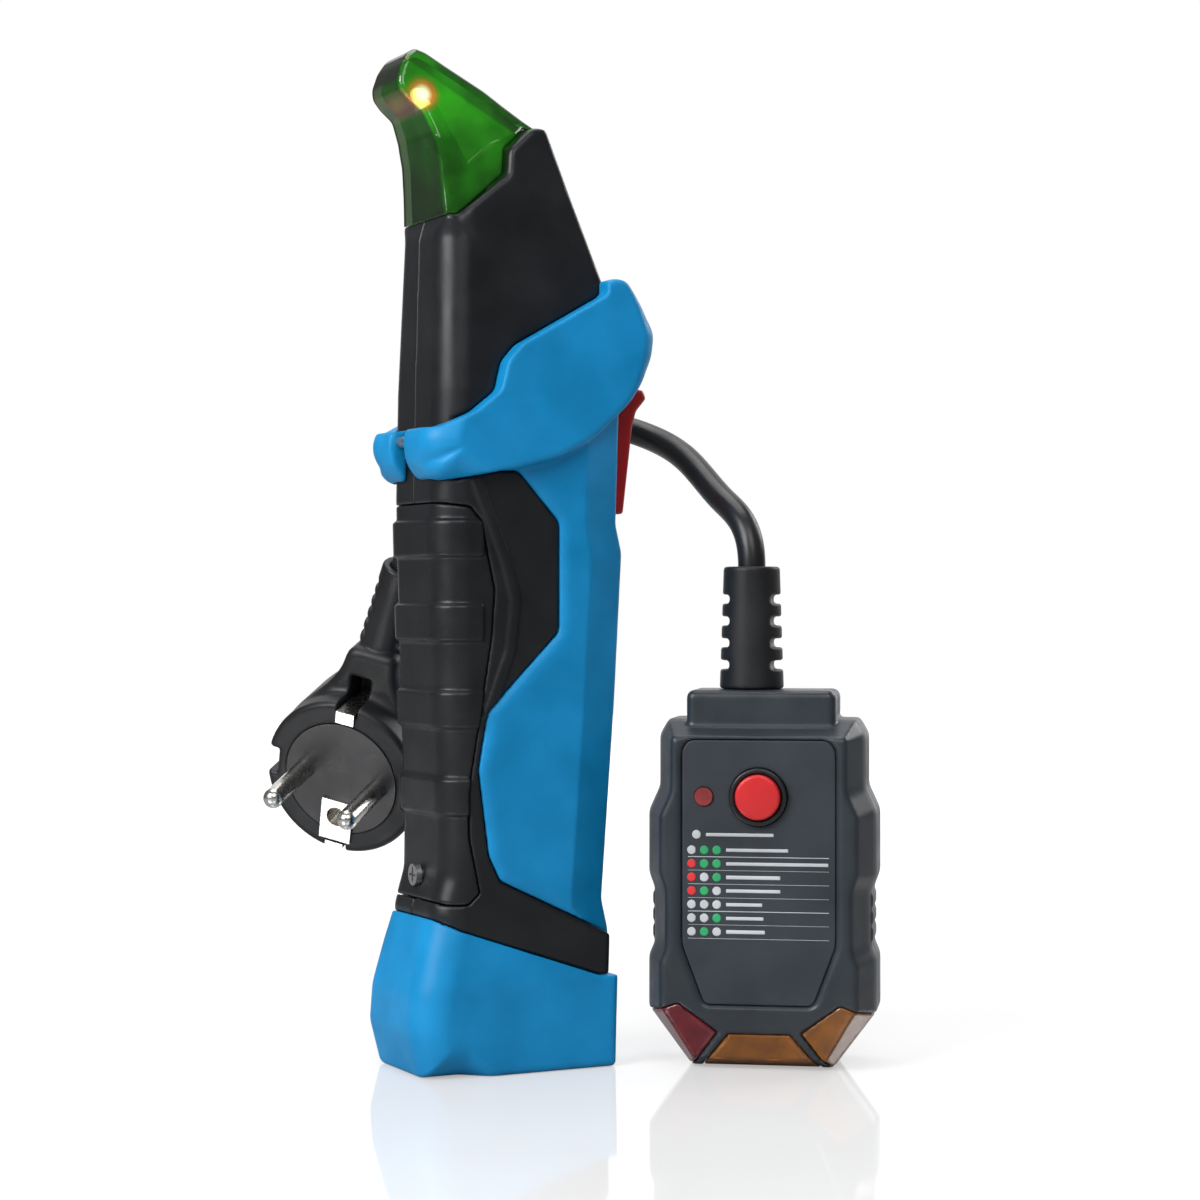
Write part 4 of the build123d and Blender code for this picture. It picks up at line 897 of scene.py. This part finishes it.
# ---------------------------------------------------------------- CAD nodes that stay, by material slot
TIP_CLEAR = smoky_clear("clear_green_plastic")
# the tip's inner wall carries a painted lamp glow (emission), not real light from the lamp
TIP_PAINTED_GLOW = painted_tip_glow("tip_inner_wall_painted_glow")
WINDOW_RED = tinted_clear("red_window_plastic", (0.55, 0.06, 0.08), (0.20, 0.012, 0.022), 0.35, 0.12)
WINDOW_AMBER = tinted_clear("amber_window_plastic", (0.85, 0.42, 0.10), (0.33, 0.115, 0.012), 0.35, 0.12)
SLOT_MATERIALS = {
    "case": BLACK, "steel": STEEL, "nickel": NICKEL, "copper": COPPER, "pcb": BOARD, "rubber_black": CORD,
    "chip": plastic("chip_epoxy", (0.02, 0.02, 0.022), 0.45, 0.15, 0.3, 0.1),
    "passive": plastic("ceramic_parts", (0.30, 0.21, 0.12), 0.5, 0.2, 0.3, 0.1),
    "battery_can": battery_wrap("battery_sleeve"),
    "ferrite": plastic("ferrite", (0.045, 0.042, 0.04), 0.6, 0.15, 0.5, 0.2),
    "wire_red": plastic("wire_insulation", (0.42, 0.02, 0.02), 0.4, 0.5, 0.1, 0.1),
    "tray": plastic("tray_plastic", (0.025, 0.026, 0.03), 0.5, 0.3, 0.3, 0.2),
    "insert": plastic("plug_insert_plastic", (0.014, 0.014, 0.016), 0.40, 0.3, 0.2, 0.1),
    "resistor": plastic("resistor_paint", (0.16, 0.30, 0.34), 0.4, 0.4, 0.2, 0.1),
    "lamp_red": tinted_clear("lamp_red_lens", (0.8, 0.25, 0.25), (0.34, 0.03, 0.035), 0.2, 0.2),
    "led_clear": led_light("led_lit", (1.0, 0.18, 0.05), 6.0),
}


def dress_cad_nodes():
    """Every CAD node that still shows gets its slot's finish."""
    slots = {part["node"]: part["material_slot"] for part in frame["record"]["subparts"]}
    for name, node in frame["nodes"].items():
        if node.hide_render:
            continue
        material = SLOT_MATERIALS.get(slots.get(name), BLACK)
        if not node.data.materials:
            node.data.materials.append(material)
        for index in range(len(node.data.materials)):
            node.data.materials[index] = material


# ---------------------------------------------------------------- studio
def stage():
    """Pale glossy floor that fades to white, a white backdrop and soft lamps."""
    s = Shader("studio_floor")
    tone = s.mix(s.remap(s.noise(90.0, 3.0), 0.3, 0.7, 0, 1), (0.40, 0.40, 0.40), (0.42, 0.42, 0.42))
    matte = s.add("BsdfDiffuse", {"Color": tone})
    centre = (cad_low + cad_high) / 2
    middle = (centre.x, centre.y, 0.0)
    away = s.add("VectorMath", {0: s.coordinates, 1: middle}, output="Value", operation="DISTANCE")
    level = s.remap(away, 0.12, 0.75, 0.56, 1.05)
    lift = s.add("Emission", {"Color": (1, 1, 1), "Strength": s.math("MULTIPLY", s.add(
        "LightPath", output="Is Camera Ray"), level)})
    mirror = s.add("BsdfGlossy", {"Color": (1, 1, 1), "Roughness": 0.06})
    material = s.finish(s.add("MixShader", {0: 0.27, 1: s.add("AddShader", {0: matte, 1: lift}), 2: mirror}))
    reach = 6.0
    mesh = bpy.data.meshes.new("floor")
    mesh.from_pydata([(-reach, -reach, 0), (reach, -reach, 0), (reach, reach, 0), (-reach, reach, 0)], [],
                     [(0, 1, 2, 3)])
    mesh.materials.append(material)
    floor = bpy.data.objects.new("floor", mesh)
    bpy.context.scene.collection.objects.link(floor)
    mesh = bpy.data.meshes.new("backdrop")
    mesh.from_pydata([(0, 1.6, -0.5), (reach, 1.6, -0.5), (reach, 1.6, 4), (0, 1.6, 4)], [], [(0, 1, 2, 3)])
    s = Shader("studio_backdrop")
    mesh.materials.append(s.finish(s.add("Emission", {"Color": (1, 1, 1), "Strength": 1.0})))
    backdrop = bpy.data.objects.new("backdrop", mesh)
    bpy.context.scene.collection.objects.link(backdrop)
    world = bpy.data.worlds.new("studio")
    bpy.context.scene.world = world
    world.use_nodes = True
    background = world.node_tree.nodes["Background"]
    background.inputs["Color"].default_value = (1, 1, 1, 1)
    seen = world.node_tree.nodes.new("ShaderNodeLightPath").outputs["Is Camera Ray"]
    level = world.node_tree.nodes.new("ShaderNodeMapRange")
    level.inputs["To Min"].default_value, level.inputs["To Max"].default_value = 0.16, 1.0
    world.node_tree.links.new(seen, level.inputs["Value"])
    world.node_tree.links.new(level.outputs["Result"], background.inputs["Strength"])
    lamps = (("key", (-0.95, -0.30, 0.55), 0.6, 13.0), ("rim", (0.9, 0.1, 0.5), 0.5, 3.5),
             ("front", (-0.30, -1.0, 0.8), 0.7, 6.0), ("top", (0.0, 0.2, 1.1), 0.8, 6.0))
    for name, offset, size, power in lamps:
        light = bpy.data.lights.new(name, "AREA")
        light.size, light.energy = size, power
        lamp = bpy.data.objects.new(name, light)
        bpy.context.scene.collection.objects.link(lamp)
        lamp.location = Vector((centre.x, centre.y, 0.1)) + Vector(offset)
        lamp.rotation_mode = "QUATERNION"
        lamp.rotation_quaternion = Vector(offset).to_track_quat("Z", "Y")
    bpy.context.scene.view_settings.view_transform = "Standard"


def camera():
    """Level camera, 27 degrees round from the receiver's side, 0.6 m away."""
    data = bpy.data.cameras.new("camera")
    data.lens, data.sensor_width = 80.1, 36.0
    view = bpy.data.objects.new("camera", data)
    bpy.context.scene.collection.objects.link(view)
    view.location = (-0.2507, -0.5457, 0.104)
    view.rotation_euler = (math.pi / 2, 0, math.radians(-27.0))
    bpy.context.scene.camera = view


receiver_case()
receiver_guard()
receiver_foot()
receiver_tip()
battery_cover()
controls()
transmitter()
transmitter_face()
legend()
lead_grips()
plug()
dress_cad_nodes()
stage()
camera()
